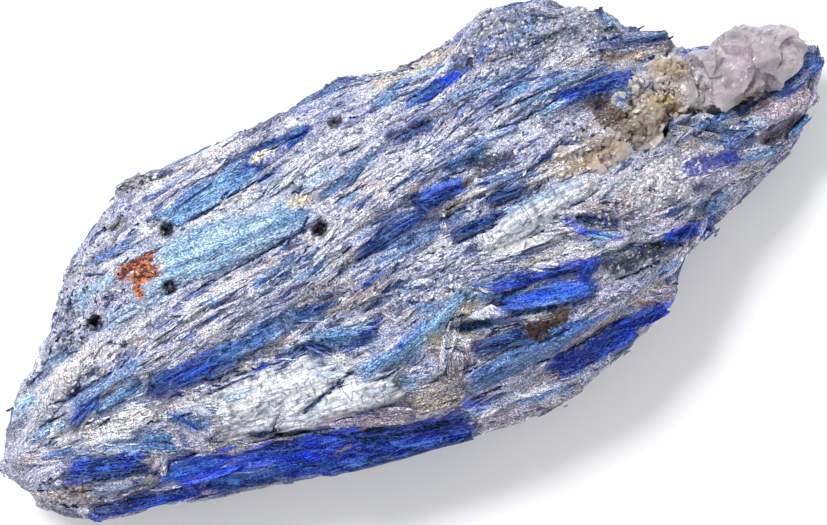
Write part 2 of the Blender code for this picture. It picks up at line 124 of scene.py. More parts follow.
def layOf(points):
    # coordinates along and across the blades
    angle = np.radians(4.0 * np.round(np.degrees(bladeAngle(points)) / 4.0))
    along = points[:, 0] * np.cos(angle) + points[:, 1] * np.sin(angle)
    across = points[:, 1] * np.cos(angle) - points[:, 0] * np.sin(angle)
    return np.stack((along, across, points[:, 2]), 1)


def stretched(lay, along, across, seed, octaves=2):
    return roughNoise(lay / np.array((along, across, across)), seed, octaves)


# what colour the stone is where: x and y of both ends, full width, colour, strength
patches = [
    # left end and upper left
    (-60, -3, -50, 1, 9, "haze", .55), (-57, 2, -54.5, 2.4, 1.8, "dusk", .7),
    (-55, 4, -49, 5, 2.4, "ice", .6), (-50, 4.6, -42, 6.6, 3.6, "bone", .7),
    (-48.2, 5.8, -46.8, 5.8, 1.8, "bone", .6), (-49, 7.9, -44.5, 7.9, 1.8, "sky", .6),
    (-45.4, 8.4, -43.4, 12.6, 2.6, "dusk", .6), (-44, 14, -42, 17, 3, "haze", .5),
    (-41, 14, -36.5, 14.2, 2, "ice", .9), (-39, 19, -34, 21.5, 4, "haze", .5),
    (-37.5, 17.5, -31.5, 17.5, 1.3, "slate", .7), (-34, 20.4, -31.5, 20.2, .8, "olive", .7),
    (-39, 12.2, -35, 11.8, 2, "lilac", .7), (-39.5, 9, -31, 9.8, 2, "sky", .55),
    (-39, 6.4, -35.4, 5.7, 1, "clay", .8), (-34, 6.6, -31, 5.8, 1.4, "navy", .8),
    (-33, 7.1, -24.6, 8.3, .8, "steel", .8), (-39.5, 3.9, -36, 4.1, 1.2, "steel", .6),
    (-47.5, 2.7, -40.5, 3.3, .8, "dusk", .8), (-47, 1.6, -37.5, 2.7, 1.8, "blue", .8),
    (-48.5, -.4, -44.5, .9, 1.7, "deep", .8), (-44.5, -.3, -38, .6, 2.1, "blue", .8),
    (-38, -1, -36, 1.2, 2, "ice", .7), (-55, 0, -49, 0, 1.6, "ice", .5),
    (-50, -2.4, -38, -3.6, 3.2, "bone", .65), (-46.4, -1.6, -45.2, -1.7, 1.1, "ink", .9),
    (-41, -1.5, -38.6, -2.4, 1, "silk", .8), (-53, -3.2, -50.4, -3.5, .9, "steel", .8),
    (-53.6, -4.5, -51, -5.3, 1.2, "blue", .8), (-51.5, -5.6, -44, -8.6, 3.6, "navy", .92),
    (-45.5, -5, -41.5, -7.2, 1.8, "blue", .75), (-44.5, -8.9, -41.6, -10.6, 2, "ink", .9),
    (-41, -5.8, -37, -9, 3.2, "steel", .75), (-56.5, -8, -50.5, -10, 3, "clay", .6),
    (-52.8, -8.6, -50, -9.3, 1.2, "umber", .7), (-49.5, -9.6, -44.5, -11, 1.8, "slate", .8),
    (-51.5, -11.7, -43.5, -13.9, 1.4, "ink", .7), (-52, -12.6, -38, -15, 2, "deep", .8),
    (-40.5, -11.5, -33, -12.6, 3, "cobalt", .95), (-39, -13.2, -33.5, -14.6, 2.2, "cobalt", .9),
    (-43, -11.2, -40.4, -10.6, 1.5, "bone", .7), (-36, -5.4, -33, -7.9, 1.8, "blue", .8),
    (-37.4, 1, -37.2, -9, .9, "mist", .85), (-35.5, -3.6, -32.6, -4.6, 2, "bone", .6),
    # upper middle
    (-31, 13, -24, 13, 7.5, "ice", .7), (-24.5, 12.6, -12, 12, 7, "sky", .8),
    (-23.5, 11.5, -21, 11.8, 1.6, "blue", .7), (-15.5, 10.6, -10.6, 11.2, 2.2, "blue", .75),
    (-22, 15.6, -16, 15, 1.2, "silk", .5), (-27, 18.2, -14, 19.4, 3.4, "blue", .9),
    (-22.5, 20.2, -19.5, 20.6, 1.6, "steel", .7), (-17.5, 19.2, -13.4, 20.2, 1.3, "deep", .85),
    (-16.5, 21.7, -5, 21.4, 1.3, "navy", .9), (-12.6, 19.3, -5, 21, 1.2, "deep", .9),
    (-28, 22, -25, 22.1, 1, "steel", .8), (-28, 23.6, -14, 23.8, 1.7, "bone", .85),
    (-13.6, 24.2, -5.2, 24.4, 1.1, "dusk", .75), (-30, 24, -27, 24.6, 2.6, "grey", .8),
    (-29.4, 18.2, -27.2, 17.6, 2.2, "silk", .9), (-29.2, 18.9, -27.2, 18.8, .9, "steel", .7),
    (-12.6, 17.6, -10.4, 17.8, 1.3, "steel", .8), (-16.4, 16, -13.6, 16, 1, "cream", .6),
    (-13, 20.6, -11, 20.7, 1.1, "cream", .85), (-10.6, 13.3, -8.8, 13, 1.8, "cream", .85),
    (-9, 14.6, -4.6, 15, 2.2, "sky", .65), (-7, 12.3, -2.4, 13.1, 1.2, "steel", .85),
    (-5.2, 10.5, -2.4, 10.8, .9, "blue", .8), (-12, 8.2, -4, 8, 2.2, "bone", .6),
    (-18.6, 5.2, -13, 6.3, 2, "slate", .75), (-15.2, 3.9, -11.4, 4.4, 1.2, "blue", .6),
    (-25.6, 5.4, -22, 5.6, .8, "navy", .8), (-28.2, 4, -24.4, 4.5, .8, "navy", .85),
    (-22, 3.4, -15.5, 3.2, 2.4, "grey", .6), (-14.5, 2.2, -9.6, 1.4, 2.2, "dusk", .75),
    (-22.8, .1, -16, .2, 1.5, "steel", .8), (-15.6, -.2, -11, -.8, 2.2, "ink", .75),
    (-9.2, -.2, -1, .1, 1.3, "navy", .75), (-10.6, -2.2, -5.4, -2.6, .8, "olive", .75),
    (-12, -1.6, -6, -1.5, 1, "tan", .6), (-10.3, -.5, -9.3, -.6, 1.1, "silk", .95),
    (-36.6, -.9, -26, -.9, 3.6, "navy", .95), (-26.5, -.8, -18.6, -.4, 2.6, "blue", .7),
    # white, cracked and folded middle
    (-33, -6, -30, -8, 2.4, "haze", .6), (-30, -6.6, -15, -8.4, 5.4, "silk", .95),
    (-22, -11.4, -8.6, -13.2, 4.6, "silk", .9), (-28.5, -6.2, -26, -6.4, 1.6, "ice", .8),
    (-28.6, -7.4, -25.8, -7.4, .6, "steel", .9), (-17.6, -6.6, -14.6, -9.6, 2, "ice", .7),
    (-23.8, -4.2, -20.8, -4.2, 1.2, "cobalt", .85), (-22, -2.9, -15, -2.2, 1.1, "clay", .75),
    (-18.6, -4.6, -16.4, -6.8, 2.4, "slate", .7), (-15.2, -3.6, -8.4, -6.4, 3.2, "blue", .8),
    (-11.2, -6.6, -7, -5.3, 1.2, "deep", .9), (-32, -9.2, -28, -11, 1.8, "umber", .45),
    (-26.4, -13.4, -21.6, -14.2, 1.3, "umber", .6), (-27.4, -13, -24, -13.6, 1, "lilac", .7),
    (-18, -14, -8, -18.4, 2.8, "pink", .7), (-12.6, -15.2, -9.2, -16.4, .9, "umber", .7),
    (-8.6, -16.6, -1, -17.6, 4.4, "clay", .7), (-14.2, -17.6, -10.4, -18.8, 1.1, "umber", .95),
    (-13.8, -18.6, -12.6, -18.7, .5, "ember", .7), (-9.4, -18.2, -8.4, -18.4, .7, "rust", .4),
    (-11.4, -10.4, -5, -9.9, 2.8, "blue", .8), (-6.4, -9.5, -1.4, -7.9, 1.3, "cobalt", .9),
    (-5, -9.9, 4.4, -7, 2.6, "sky", .8), (-8.2, -13.4, -4.6, -15, 2.6, "sky", .7),
    (-5, -12, -3.4, -13.6, 1.2, "steel", .6), (-2.4, -11.6, -2, -13, .9, "ember", .6),
    (-1.6, -10.6, 3.4, -12.8, 2.4, "tan", .65), (-2.6, -5, -.2, -6.6, 1.8, "blue", .8),
    (-4, -3.2, 2.4, -3.8, 2, "slate", .55), (-5, -4.4, -3, -5.6, 1.6, "rose", .6),
    (-2.6, -15.8, -1.8, -16.2, 1, "umber", .9), (-3, -19.8, -2.2, -20, .9, "umber", .8),
    # blue lower facet
    (-31, -14.4, -17, -17.4, 3.6, "cobalt", .85), (-36, -15.6, -22, -18.6, 2.4, "navy", .85),
    (-25, -17.8, -3.5, -22, 4.6, "deep", .93), (-26.4, -17.4, -23.8, -18.8, 1.4, "royal", .6),
    (-21, -20.6, -3, -23.8, 1.8, "navy", .8), (-45, -14.4, -34, -16, 1.5, "deep", .8),
    (-19.4, -18.3, -17.6, -18.5, .5, "gold", .5), (-1.3, -20, .8, -20.8, 1.7, "cobalt", .8),
    (-2, -21.4, 8, -20.5, 1, "blue", .6),
    # middle right, upper
    (6.8, 18, 11, 19, 1.8, "blue", .8), (10.4, 18.7, 15.2, 19.3, 1.7, "cobalt", .95),
    (4.4, 19.6, 8.4, 21, 1.2, "blue", .7), (8, 22, 14, 21.4, 1, "sky", .7),
    (6, 22.6, 16.4, 22.8, 2, "tan", .85), (-5, 24.7, 3, 25.2, 1.2, "slate", .6),
    (-3, 21.8, 2, 22.8, 1.4, "slate", .6), (-2.2, 13.9, 3.2, 14.7, 1.4, "steel", .75),
    (-2, 11.6, 2, 10, 1.8, "bone", .8), (1, 9.2, 6, 10, .9, "steel", .8),
    (4.6, 14.8, 9.6, 14.8, 1.3, "navy", .85), (2.5, 12.4, 13, 12.7, 1.8, "pale", .7),
    (8.8, 11.2, 11.2, 11.4, 1, "slate", .8), (9.2, 8.8, 15, 9.6, 1.7, "steel", .8),
    (12.3, 8, 16.6, 6.8, 2, "char", .92), (16.8, 8.2, 18.6, 6.4, 1.8, "navy", .75),
    (3.8, 7.4, 5.4, 3.8, 2.4, "navy", .95), (5.2, 7.2, 9.8, 6.8, 1.5, "royal", .85),
    (5.4, 5.9, 10, 5.9, 1.4, "deep", .95), (4.6, 4.5, 6.2, 4.2, 1, "lilac", .8),
    (5.2, 3.4, 7.4, 3.7, .7, "umber", .85), (7.4, 4.2, 12, 4.6, 1.1, "tan", .7),
    (-6, 3.6, 3.6, 4.9, 2, "navy", .92), (-1, 2.6, 4.2, 2.2, 1.5, "blue", .75),
    (12.6, 5, 16, 4.8, 1.2, "steel", .8), (10.4, 6, 11.4, 6, 1, "umber", .85),
    (12.2, 2.8, 17, 2.6, 1.3, "navy", .9), (6.2, .9, 12.2, .4, 2, "navy", .9),
    (14, 16.4, 20, 16.4, 1.6, "ice", .5), (20, 16.4, 26, 16.6, 1.9, "steel", .8),
    (20, 14.2, 23.2, 14, 1.2, "blue", .8), (21.6, 12, 25.4, 12.2, 1.4, "blue", .7),
    (12, 16.8, 17, 17, 1.4, "slate", .5), (21, 23.4, 22.6, 23.2, 1.8, "olive", .75),
    (22.6, 19.4, 24.4, 21, 1.7, "navy", .85), (24, 20, 27.4, 21.6, 2.6, "blue", .75),
    (17, 19.4, 21, 20, 1.6, "umber", .6), (18, 23, 35, 19, 6.6, "grey", .5),
    (25, 17.6, 34.5, 17.6, 3.4, "grey", .55), (32.6, 17.9, 32.6, 18.3, 1, "silk", .9),
    (35.8, 17.4, 35.9, 19.8, 1.2, "navy", .95), (30, 14.3, 33.6, 13.8, 1.4, "tan", .65),
    (36.4, 17.4, 40.2, 15.9, 2.2, "sky", .8), (33.6, 14.8, 42.4, 13, 3.2, "steel", .7),
    (35, 14.6, 41, 14.9, 1.2, "navy", .6), (37.4, 11.8, 42.6, 11.6, 1.6, "clay", .8),
    (34, 13.2, 38, 12, 1.8, "gold", .5), (24.5, 12.8, 32.6, 12.3, 1.8, "blue", .75),
    (25.6, 11.3, 33, 10.6, 1.3, "navy", .95), (26.4, 10.5, 35.4, 9.7, 2.2, "deep", .9),
    (22.6, 10.3, 26.2, 10.1, 1.1, "ice", .8), (33, 8.4, 37, 6.6, 2.6, "slate", .85),
    (23, 8.6, 29, 8, 3.4, "haze", .6), (24.6, 6.6, 29, 6.2, 1.6, "lilac", .6),
    (18.6, 7, 23, 6.4, 2, "haze", .6), (20, 3.2, 24, 3.6, 1.8, "tan", .6),
    (22, 1.9, 27, 1.6, 1.1, "gold", .8), (29.6, 8.6, 31.6, 5.4, 3, "umber", .8),
    (31.6, 6.6, 32.4, 5.6, 1.4, "umber", .7), (31, 4.2, 38, 4, 3, "olive", .65),
    (24, 4.4, 30, 3.6, 1.4, "tan", .6), (28, 1.2, 31, 1.4, 2, "clay", .7),
    (30.6, 13, 33.4, 13.2, 1.2, "rose", .7), (36.6, 1.4, 41.6, 1.2, 1.7, "dusk", .8),
    (42, 3.2, 45, 1.2, 1.9, "blue", .8), (40.4, -.2, 46.6, 0, 1.7, "slate", .8),
    (33, 1.4, 37, .2, 2.2, "clay", .7), (43.2, 9.7, 47.9, 9.3, 1.4, "royal", .95),
    (38.6, 10.9, 42.2, 10.4, .7, "steel", .8),
    # white silky blade and the stepped blue blades
    (10.2, -2, 24.6, -.5, 3.8, "silk", .95), (9.4, -3.7, 17.4, -4.3, 1.7, "silk", .95),
    (14, .4, 23, .4, 1.4, "ice", .8), (16.6, -.4, 23.6, -.3, .7, "sky", .8),
    (6, -6.4, 13.2, -7.2, 1.2, "steel", .75), (5.4, -7.9, 9.2, -8.7, 1.2, "steel", .75),
    (8.4, -7.6, 20.2, -9.8, 1.9, "deep", .93), (9, -10.2, 19.4, -12.4, 2.9, "royal", .95),
    (19.4, -11, 21.8, -9.8, 2, "cobalt", .85), (2.6, -8.7, 5, -8.2, 1.6, "tan", .7),
    # painted shadow: the two near-black patches and the navy one between them lie in the shaded hollow
    # under the stepped blue blades
    (1.4, -10, 5.2, -11.4, 1.7, "crack", .85), (5, -11, 9.2, -12.4, 1.5, "navy", .8),
    (8.6, -11.6, 14.2, -13.1, 1, "crack", .8), (12.6, -6.5, 19, -6.6, 1.4, "tan", .6),
    (20.4, -3.4, 20.8, -4.8, 1, "cobalt", .8), (21, -5.5, 25.4, -8.4, 1, "cobalt", .9),
    # painted shadow: the last patch on the next line is the shaded hollow beside the curved blue blade
    (22, -6.9, 25, -7.9, 1.4, "sky", .85), (22, -4.4, 26, -6.6, 1.9, "crack", .85),
    (23, -3.4, 28.6, -4.6, 1.6, "clay", .7), (28.8, -3.4, 30.8, -5, 1.8, "umber", .6),
    (28, -2, 31, -2.4, 1.3, "ice", .85), (3, -13.6, 10, -15, 1.9, "navy", .92),
    (9.9, -14.6, 12.4, -14.8, 2.2, "garnet", .95), (12.4, -14.5, 15.2, -14.5, 1.9, "umber", .95),
    (10.8, -16, 15.8, -16.4, 1.5, "ink", .9), (13, -16.6, 19, -16, 2.6, "steel", .8),
    (16, -15.1, 21.6, -14.8, 1.4, "lilac", .8), (-.4, -17.8, 14.2, -16.9, 3.7, "slate", .92),
    (20, -15.4, 25, -15.6, 3.4, "lilac", .7), (14.6, -18.3, 22.4, -17.9, 1.1, "rose", .8),
    (11.4, -20.6, 22, -20.1, 3.6, "deep", .95), (21, -19.2, 27.8, -19.7, 2.4, "cobalt", .93),
    (.4, -19.4, 10.4, -19.2, 1.1, "lilac", .7), (0, -23, 13, -25, 2.6, "pink", .85),
    (4, -22.3, 11.6, -23.8, 1.4, "blue", .8), (3.6, -21.8, 9, -22.2, .6, "silk", .7),
    (5, -20.6, 11, -21.4, 1.3, "pink", .6),
    # lower right
    (23, -10.6, 31.4, -12.4, 3, "char", .8), (26, -7, 34, -9.6, 3, "pink", .6),
    (31.4, -8.3, 35.2, -9, 1, "steel", .85), (30, -4, 40, -5, 6.5, "bone", .6),
    (33, -6.6, 35.2, -8.4, 1.6, "dusk", .6), (37.8, -4.2, 43.6, -5.6, 2.8, "deep", .85),
    (37.4, -6.8, 39.2, -7.2, 1.6, "navy", .8), (40, -6.6, 46.6, -8.6, 2.6, "lilac", .7),
    (37.6, -10, 40.6, -10.2, 2.4, "blue", .85), (34.4, -9.7, 37.2, -10.6, 1.6, "grey", .7),
    (31.8, -11.2, 36.8, -12.5, 2.1, "cobalt", .95), (31, -13.6, 35, -13.4, 1.2, "pink", .7),
    (25, -13.8, 30, -15.4, 1.8, "lilac", .8), (24.6, -16.6, 29.4, -18, 2.8, "pink", .85),
    (24.8, -17.4, 26, -17.8, 1, "rust", .55), (29.2, -15, 31.2, -14.6, 1.1, "blue", .8),
    (42, -1, 46.4, -4, 3, "slate", .75), (47.4, -2.4, 50.4, -3.4, 1.8, "sky", .85),
    (50, -2, 56.6, -2.4, 4.2, "pink", .9), (49, -4.8, 54, -5, 2.6, "rose", .7),
    (52.2, -6.1, 55.4, -4.8, 1.3, "steel", .9), (45.4, -6.5, 50.2, -7.1, 1.3, "slate", .85),
    (44, -8.3, 47.4, -8.2, 1.6, "tan", .6), (40, -10.6, 51, -7.8, 1.4, "lilac", .7),
    (53.4, -.4, 59.6, 1.2, 2.6, "royal", .85), (57, 2.6, 59.4, 2.2, 3.4, "slate", .7),
    (54, 8, 58.6, 5.4, 1.8, "haze", .8), (47, -.6, 53, .3, .9, "navy", .8),
    # laid over the rest
    (-34.2, 14.2, -30.4, 14.4, 2.0, "rust", .95), (-32.8, 12.8, -30.2, 13, 2.0, "rust", .95),
    (-33.4, 12, -33.2, 10.6, 1.1, "rust", .9), (-34.6, 13.9, -32.6, 14.1, .6, "ember", .9),
    (-32, 13.6, -29.8, 13.4, .5, "ember", .9), (-33, 15, -28.8, 15.2, .7, "ember", .95),
    (14, 10.6, 22, 10.2, 2, "pale", .7), (16, 8.8, 22, 8.8, 2.4, "pale", .75),
    (-15, 14.8, -5, 16.2, 3.4, "pale", .75), (-5, 17.4, 7, 18.6, 3.4, "mist", .6),
    (-15, 2.4, -9, .6, 3.2, "clay", .6), (-23, 3.4, -15, 2.6, 3.0, "haze", .5),
    (-6, 1.7, 4, 2.2, 3.0, "slate", .6), (-15.6, -.4, -10.4, .1, 1.9, "navy", .7),
    (-8, .2, 2, -.8, 1.4, "haze", .5), (-5.2, -1.9, -1.6, -2, 1.1, "navy", .7),
    (-9.4, 4.2, -6, 4, 1.6, "clay", .5), (-18, 2.2, -16.4, -.6, 2.4, "steel", .5),
    (-8, -2.6, -5, -3, 1.4, "dusk", .5), (23, -4.8, 28, -6.4, 1.6, "umber", .7),
    (-38, 7.4, -32, 6.2, 3.0, "mist", .2), (-8, -14.6, -1, -17, 3.4, "clay", .7),
    (26, 18.6, 33, 18.1, 1.6, "char", .6), (21, 17.8, 25, 18.8, 1.4, "dusk", .5),
    (-59.4, -2, -52, 1.4, 5, "mist", .6), (-58, -5, -52, -4.6, 2.6, "lilac", .5),
]

stone = {
    "seed": 3,
    "base": ("mist", "haze", "bone", "frost"),
    "streak": ("steel", "navy"),
    "streakAmount": 0.62,
    "undersideBlue": 0.4,         # more blue where no patch reaches, low on the sides and below
    "ragged": 0.9,                # how frayed the patches' borders are
}


def nearness(points, x0, y0, x1, y1, width):
    # 0 on a line between two places, 1 at half the width from it
    start = np.array((x0, y0), float)
    run = np.array((x1, y1), float) - start
    share = np.clip(((points[:, :2] - start) @ run) / max(run @ run, 1e-6), 0.0, 1.0)
    return np.linalg.norm(points[:, :2] - start - share[:, None] * run, axis=1) / (0.5 * width)


def stoneColour(points, normals):
    lay = layOf(points)
    seed = stone["seed"]
    base, dull, warm, silver = (linear(name) for name in stone["base"])
    light, dark = (linear(name) for name in stone["streak"])
    colour = np.tile(base, (len(points), 1))
    colour = blendTo(colour, dull, 0.8 * smoothStep(0.42, 0.62, stretched(lay, 9.0, 1.3, seed + 1)))
    colour = blendTo(colour, warm, 0.6 * smoothStep(0.5, 0.7, roughNoise(points / 6.0, seed + 2)))
    colour = blendTo(colour, silver, 0.7 * smoothStep(0.58, 0.7, stretched(lay, 7.0, 0.7, seed + 6)))
    blues = stretched(lay, 12.0, 1.7, seed + 3, 3)
    wide = roughNoise(points / 16.0, seed + 4, 2)
    hidden = 1.0 - smoothStep(-0.1, 0.35, normals[:, 2])
    amount = np.clip(stone["streakAmount"] + stone["undersideBlue"] * hidden, 0, 0.95)
    level = blues + 0.35 * (wide - 0.5)
    colour = blendTo(colour, light, amount * smoothStep(0.51, 0.64, level))
    colour = blendTo(colour, dark, 0.8 * smoothStep(0.64, 0.74, level))
    upward = smoothStep(-0.25, 0.15, normals[:, 2])
    ragged = stone["ragged"] * (stretched(lay, 3.4, 0.5, seed + 5, 3) - 0.5)
    for x0, y0, x1, y1, width, name, strength in patches:
        near = nearness(points, x0, y0, x1, y1, width)
        inside = near < 1.6
        if inside.any():
            fade = 1.0 - smoothStep(0.62, 1.18, near[inside] + ragged[inside])
            colour[inside] = blendTo(colour[inside], linear(name), strength * upward[inside] * fade)
    return colour


# partings between the blades, cut in as grooves and darkened with painted shade: both ends, width
slits = [
    (-27.4, 8.2, -20.8, 8.7, .4), (-20.8, 8.7, -11.2, 9.3, .45), (-11.2, 9.3, -9.9, 10.4, .45),
    (-24, 16.9, -19.6, 17.1, .4), (-19.6, 17.1, -17.4, 18.1, .35), (-17.8, 17.6, -11.6, 17.8, .45),
    (-38.9, 16, -36.6, 15.4, .4), (-34, 15.2, -32.8, 15.7, .35), (-53, .9, -48.4, 1.1, .35),
    (-47.6, 2.9, -41, 3.4, .4), (-31, -4.4, -24, -4.6, .4), (-18.2, -3.8, -16, -4, .7),
    (-16, -4, -14, -6.3, .8), (-20.8, -11.7, -15.4, -10.3, .9), (-15.4, -10.3, -12.5, -9.5, .6),
    (-28.4, -11.5, -24.4, -13, 1), (-23.6, -12.9, -19.2, -15.7, .6), (-19.2, -15.7, -14.8, -18.6, .5),
    (-14.8, -19, -9, -20.1, .5), (-9, -20.1, -2.6, -21.4, .6), (.8, 9.2, 5.4, 9.9, .4),
    (4.2, 15.4, 10.4, 15.3, .35), (-3, 16.2, 0, 16.3, .35), (-6, 11, -1, 11.4, .35),
    (17, 13.3, 20, 13.5, .35), (18, 12.6, 24, 12.9, .35), (16.6, 10.9, 21, 10.3, .4),
    (21, 10.3, 25.6, 10.9, .4), (25, 5.7, 28.4, 6.1, .4), (12, 3.4, 14.6, 3.3, .4),
    (5.2, 3.2, 9.4, 3.5, .4), (8.6, -8.7, 12, -9, .4), (13.4, -8.9, 19.2, -9.9, .4),
    (8.6, -11.5, 14.4, -13.2, 1), (1.4, -10, 5.4, -11.4, 1.3), (5.4, -12.4, 9, -13, .5),
    (11.8, -19, 22, -18.5, .4), (22, -4.3, 26.2, -6.8, 1.3), (26, -9.9, 32.8, -12.8, .7),
    (23, -13.2, 28.6, -13.7, .5), (32, 2.8, 38.6, 2.6, .8), (40.6, -.9, 44, .3, .5),
    (47, -.8, 53.2, .1, .5), (53, .5, 56.6, .9, .6), (-14.4, -17.5, -10.4, -18.9, .9),
    (-52.8, -8.4, -50, -9.5, .5), (-51.4, -11.4, -43.4, -13.4, .5), (-44.4, -9.4, -41.6, -10.8, .8),
    (26.4, 21.5, 31, 21.8, .35), (24, 18.7, 31, 18.9, .4), (33.6, 15.4, 36.6, 15.1, .4),
    (38.4, 10.9, 42, 10.3, .4), (23.4, 5, 27, 5.4, .3), (7.6, 7.9, 11, 7.9, .3),
    (-7.8, 4.5, -6.2, 4.8, .6), (-8.2, -3.3, -5.8, -3.1, .6), (-14, -.6, -12.2, -.8, .6),
    (2.2, -5.4, 3.6, -5.7, .5), (-2.6, -4.4, -1.4, -5.2, .6), (5.6, 5.2, 8.6, 5.3, .4),
    (-6.2, 3.0, -1.8, 3.1, .4), (6, -.3, 12, -.5, .4), (12.2, 1.9, 16.8, 1.7, .4),
    (-11, -12, -7.6, -11.8, .4), (0.2, -15.9, 3, -16.1, .35), (-.6, -19.6, 4, -19.6, .4),
    (9.6, -16.2, 15, -16.6, .5), (-47, 14.2, -44.6, 15.4, .6), (-45.4, 8.6, -43.6, 9.4, .6),
    (-36, 20.2, -33.4, 20.8, .4), (-52, 6.4, -49, 7.6, .4), (-30, -2.9, -26, -3.1, .4),
    (-46, -2.2, -43.6, -1.9, .7), (40, 12.9, 44, 12.2, .5), (-46.4, 12, -44.8, 13.4, .5),
    (-42.8, 13.4, -41.4, 15, .5), (-40.8, 17.2, -39, 18.2, .4), (-47.4, 9.2, -46, 10.2, .5),
    (-38.2, 12.4, -36.6, 12.1, .4), (-43.4, 16.8, -42.2, 17.8, .4), (-39.6, 6.8, -37.6, 5.6, .4),
    (-55.4, -9, -53, -10.4, .5),
]


def looseSlits(count, seed):
    # small slits scattered along the blades
    rng = np.random.default_rng(seed)
    rows = []
    low, high = (-57.0, -19.0), (48.0, 23.0)
    for x, y in rng.uniform(low, high, (count, 2)):
        turn = bladeAngle(np.array(((x, y, 0.0),)))[0] + rng.normal(0.0, 0.25)
        half = 0.5 * rng.uniform(0.7, 2.6)
        across, up = half * math.cos(turn), half * math.sin(turn)
        rows.append((x - across, y - up, x + across, y + up, rng.uniform(0.25, 0.5)))
    return rows


slits += looseSlits(90, 17)

# weathered holes: x, y, half width, depth; they are in the solid part too
pits = [
    (-40.3, 10, 1.0, 2.4), (-29.4, 10.1, .9, 2.2), (-26.8, 17, .9, 2.2), (-1.3, 20.5, .85, 2.0),
    (-8.8, 8.7, .95, 2.2),
]

# crumbly places without blades: both ends, width
crusts = [
    (-60, -2, -57, 4, 7), (-37.4, 1, -37.2, -9, .9), (-57, 4, -50, 9, 6), (-58, -7, -50, -11, 6.4),
    (-48, 5, -44, 15, 8.5), (-41, 14, -36, 21, 7), (-34, 8, -31, 15, 5.5), (-30, 21.5, -27, 25, 4),
    (15, 22.4, 34, 19.4, 8), (33, 16, 36, 15.6, 4), (29, -4, 41, -5, 7), (-13, 1.6, -9, 1, 3),
    (-3, -4.4, 3, -5, 3.2), (24, 5, 43, 7, 8), (23, -11.6, 29, -12.6, 3), (10, -14.4, 15, -14.6, 2.4),
    (12.4, 8, 16.6, 6.8, 2.4), (50, -1, 57, -3, 4),
]

# smooth folds that few strands lie over: both ends, width
folds = [(-1.2, -9.8, -1.0, -18, 5.0), (-8.4, -15.4, -1, -17.4, 4.6)]


def carved(points, upness):
    # how far the partings and the holes cut into the surface at each place, mm
    depth = np.zeros(len(points))
    ragged = 0.7 * (roughNoise(points / 0.9, 41, 2) - 0.5)
    for x0, y0, x1, y1, width in slits:
        near = nearness(points, x0, y0, x1, y1, width)
        inside = near < 2.0
        if inside.any():
            cut = (0.3 + 0.4 * width) * (1.0 - smoothStep(0.6, 1.2, near[inside] + ragged[inside]))
            depth[inside] = np.maximum(depth[inside], cut)
    for x, y, half, deep in pits:
        near = nearness(points, x, y, x, y, 2.0 * half)
        inside = near < 2.0
        if inside.any():
            cut = deep * (1.0 - smoothStep(0.6, 1.25, near[inside] + 0.6 * ragged[inside]))
            depth[inside] = np.maximum(depth[inside], cut)
    return depth * smoothStep(0.0, 0.3, upness)


def crumbliness(points):
    # 1 where the stone is a rough crust with no blades
    rough = np.zeros(len(points))
    flat = np.column_stack((points[:, 0], points[:, 1], np.zeros(len(points))))
    ragged = 0.5 * (roughNoise(flat / 2.5, 43, 2) - 0.5)
    for x0, y0, x1, y1, width in crusts:
        near = nearness(points, x0, y0, x1, y1, width) + ragged
        rough = np.maximum(rough, 1.0 - smoothStep(0.75, 1.1, near))
    return rough


def glassiness(points):
    # 1 on the smooth faces of the broad blades
    smooth = np.zeros(len(points))
    for row in blades + silvery:
        smooth = np.maximum(smooth, 1.0 - smoothStep(0.72, 1.02, nearness(points, *row[:5])))
    return smooth


def hollowness(points):
    # 1 inside the weathered holes
    inside = np.zeros(len(points))
    for x, y, half, _ in pits:
        near = nearness(points, x, y, x, y, 2.0 * half)
        inside = np.maximum(inside, 1.0 - smoothStep(1.2, 1.7, near))
    return inside


def slitness(points):
    # 1 over the narrow dark slits
    inside = np.zeros(len(points))
    for x0, y0, x1, y1, width in slits:
        near = nearness(points, x0, y0, x1, y1, width + 0.25)
        inside = np.maximum(inside, 1.0 - smoothStep(0.9, 1.3, near))
    return inside


def hugged(points, most):
    # nothing stands further than this off the stone, or below what it rests on
    for i, place in enumerate(points):
        spot, normal, _, away = bladeTree.find_nearest(Vector(place))
        if away > most and (Vector(place) - spot).dot(normal) > 0.0:
            points[i] = spot + (Vector(place) - spot) * (most / away)
    points[:, 2] = np.maximum(points[:, 2], 0.05)
    return points


def unit(vectors):
    return vectors / np.maximum(np.linalg.norm(vectors, axis=1), 1e-9)[:, None]


def meshObject(name, points, faces, attributes, material, flat=False):
    # points in mm; faces: one index array for each face size
    mesh = bpy.data.meshes.new(name)
    loops = np.concatenate([block.reshape(-1) for block in faces]).astype(np.int32)
    sizes = np.concatenate([np.full(len(block), block.shape[1]) for block in faces])
    starts = np.concatenate(([0], np.cumsum(sizes)[:-1])).astype(np.int32)
    mesh.vertices.add(len(points))
    mesh.vertices.foreach_set("co", (np.asarray(points) * mm).astype(np.float32).ravel())
    mesh.loops.add(len(loops))
    mesh.loops.foreach_set("vertex_index", loops)
    mesh.polygons.add(len(starts))
    mesh.polygons.foreach_set("loop_start", starts)
    mesh.update(calc_edges=True)
    dress(mesh, attributes)
    mesh.materials.append(material)
    if flat:
        mesh.shade_flat()
    obj = bpy.data.objects.new(name, mesh)
    bpy.context.scene.collection.objects.link(obj)
    print(f"{name}: {int((sizes - 2).sum())} triangles")
    return obj


def dress(mesh, attributes):
    # the colours and the coordinates that the materials read
    for name, values in attributes.items():
        values = np.asarray(values, np.float32)
        if name == "tint":
            made = mesh.attributes.new(name, "FLOAT_COLOR", "POINT")
            values = np.concatenate((values, np.ones((len(values), 1), np.float32)), 1)
            made.data.foreach_set("color", values.ravel())
        else:
            made = mesh.attributes.new(name, "FLOAT_VECTOR", "POINT")
            made.data.foreach_set("vector", values.ravel())


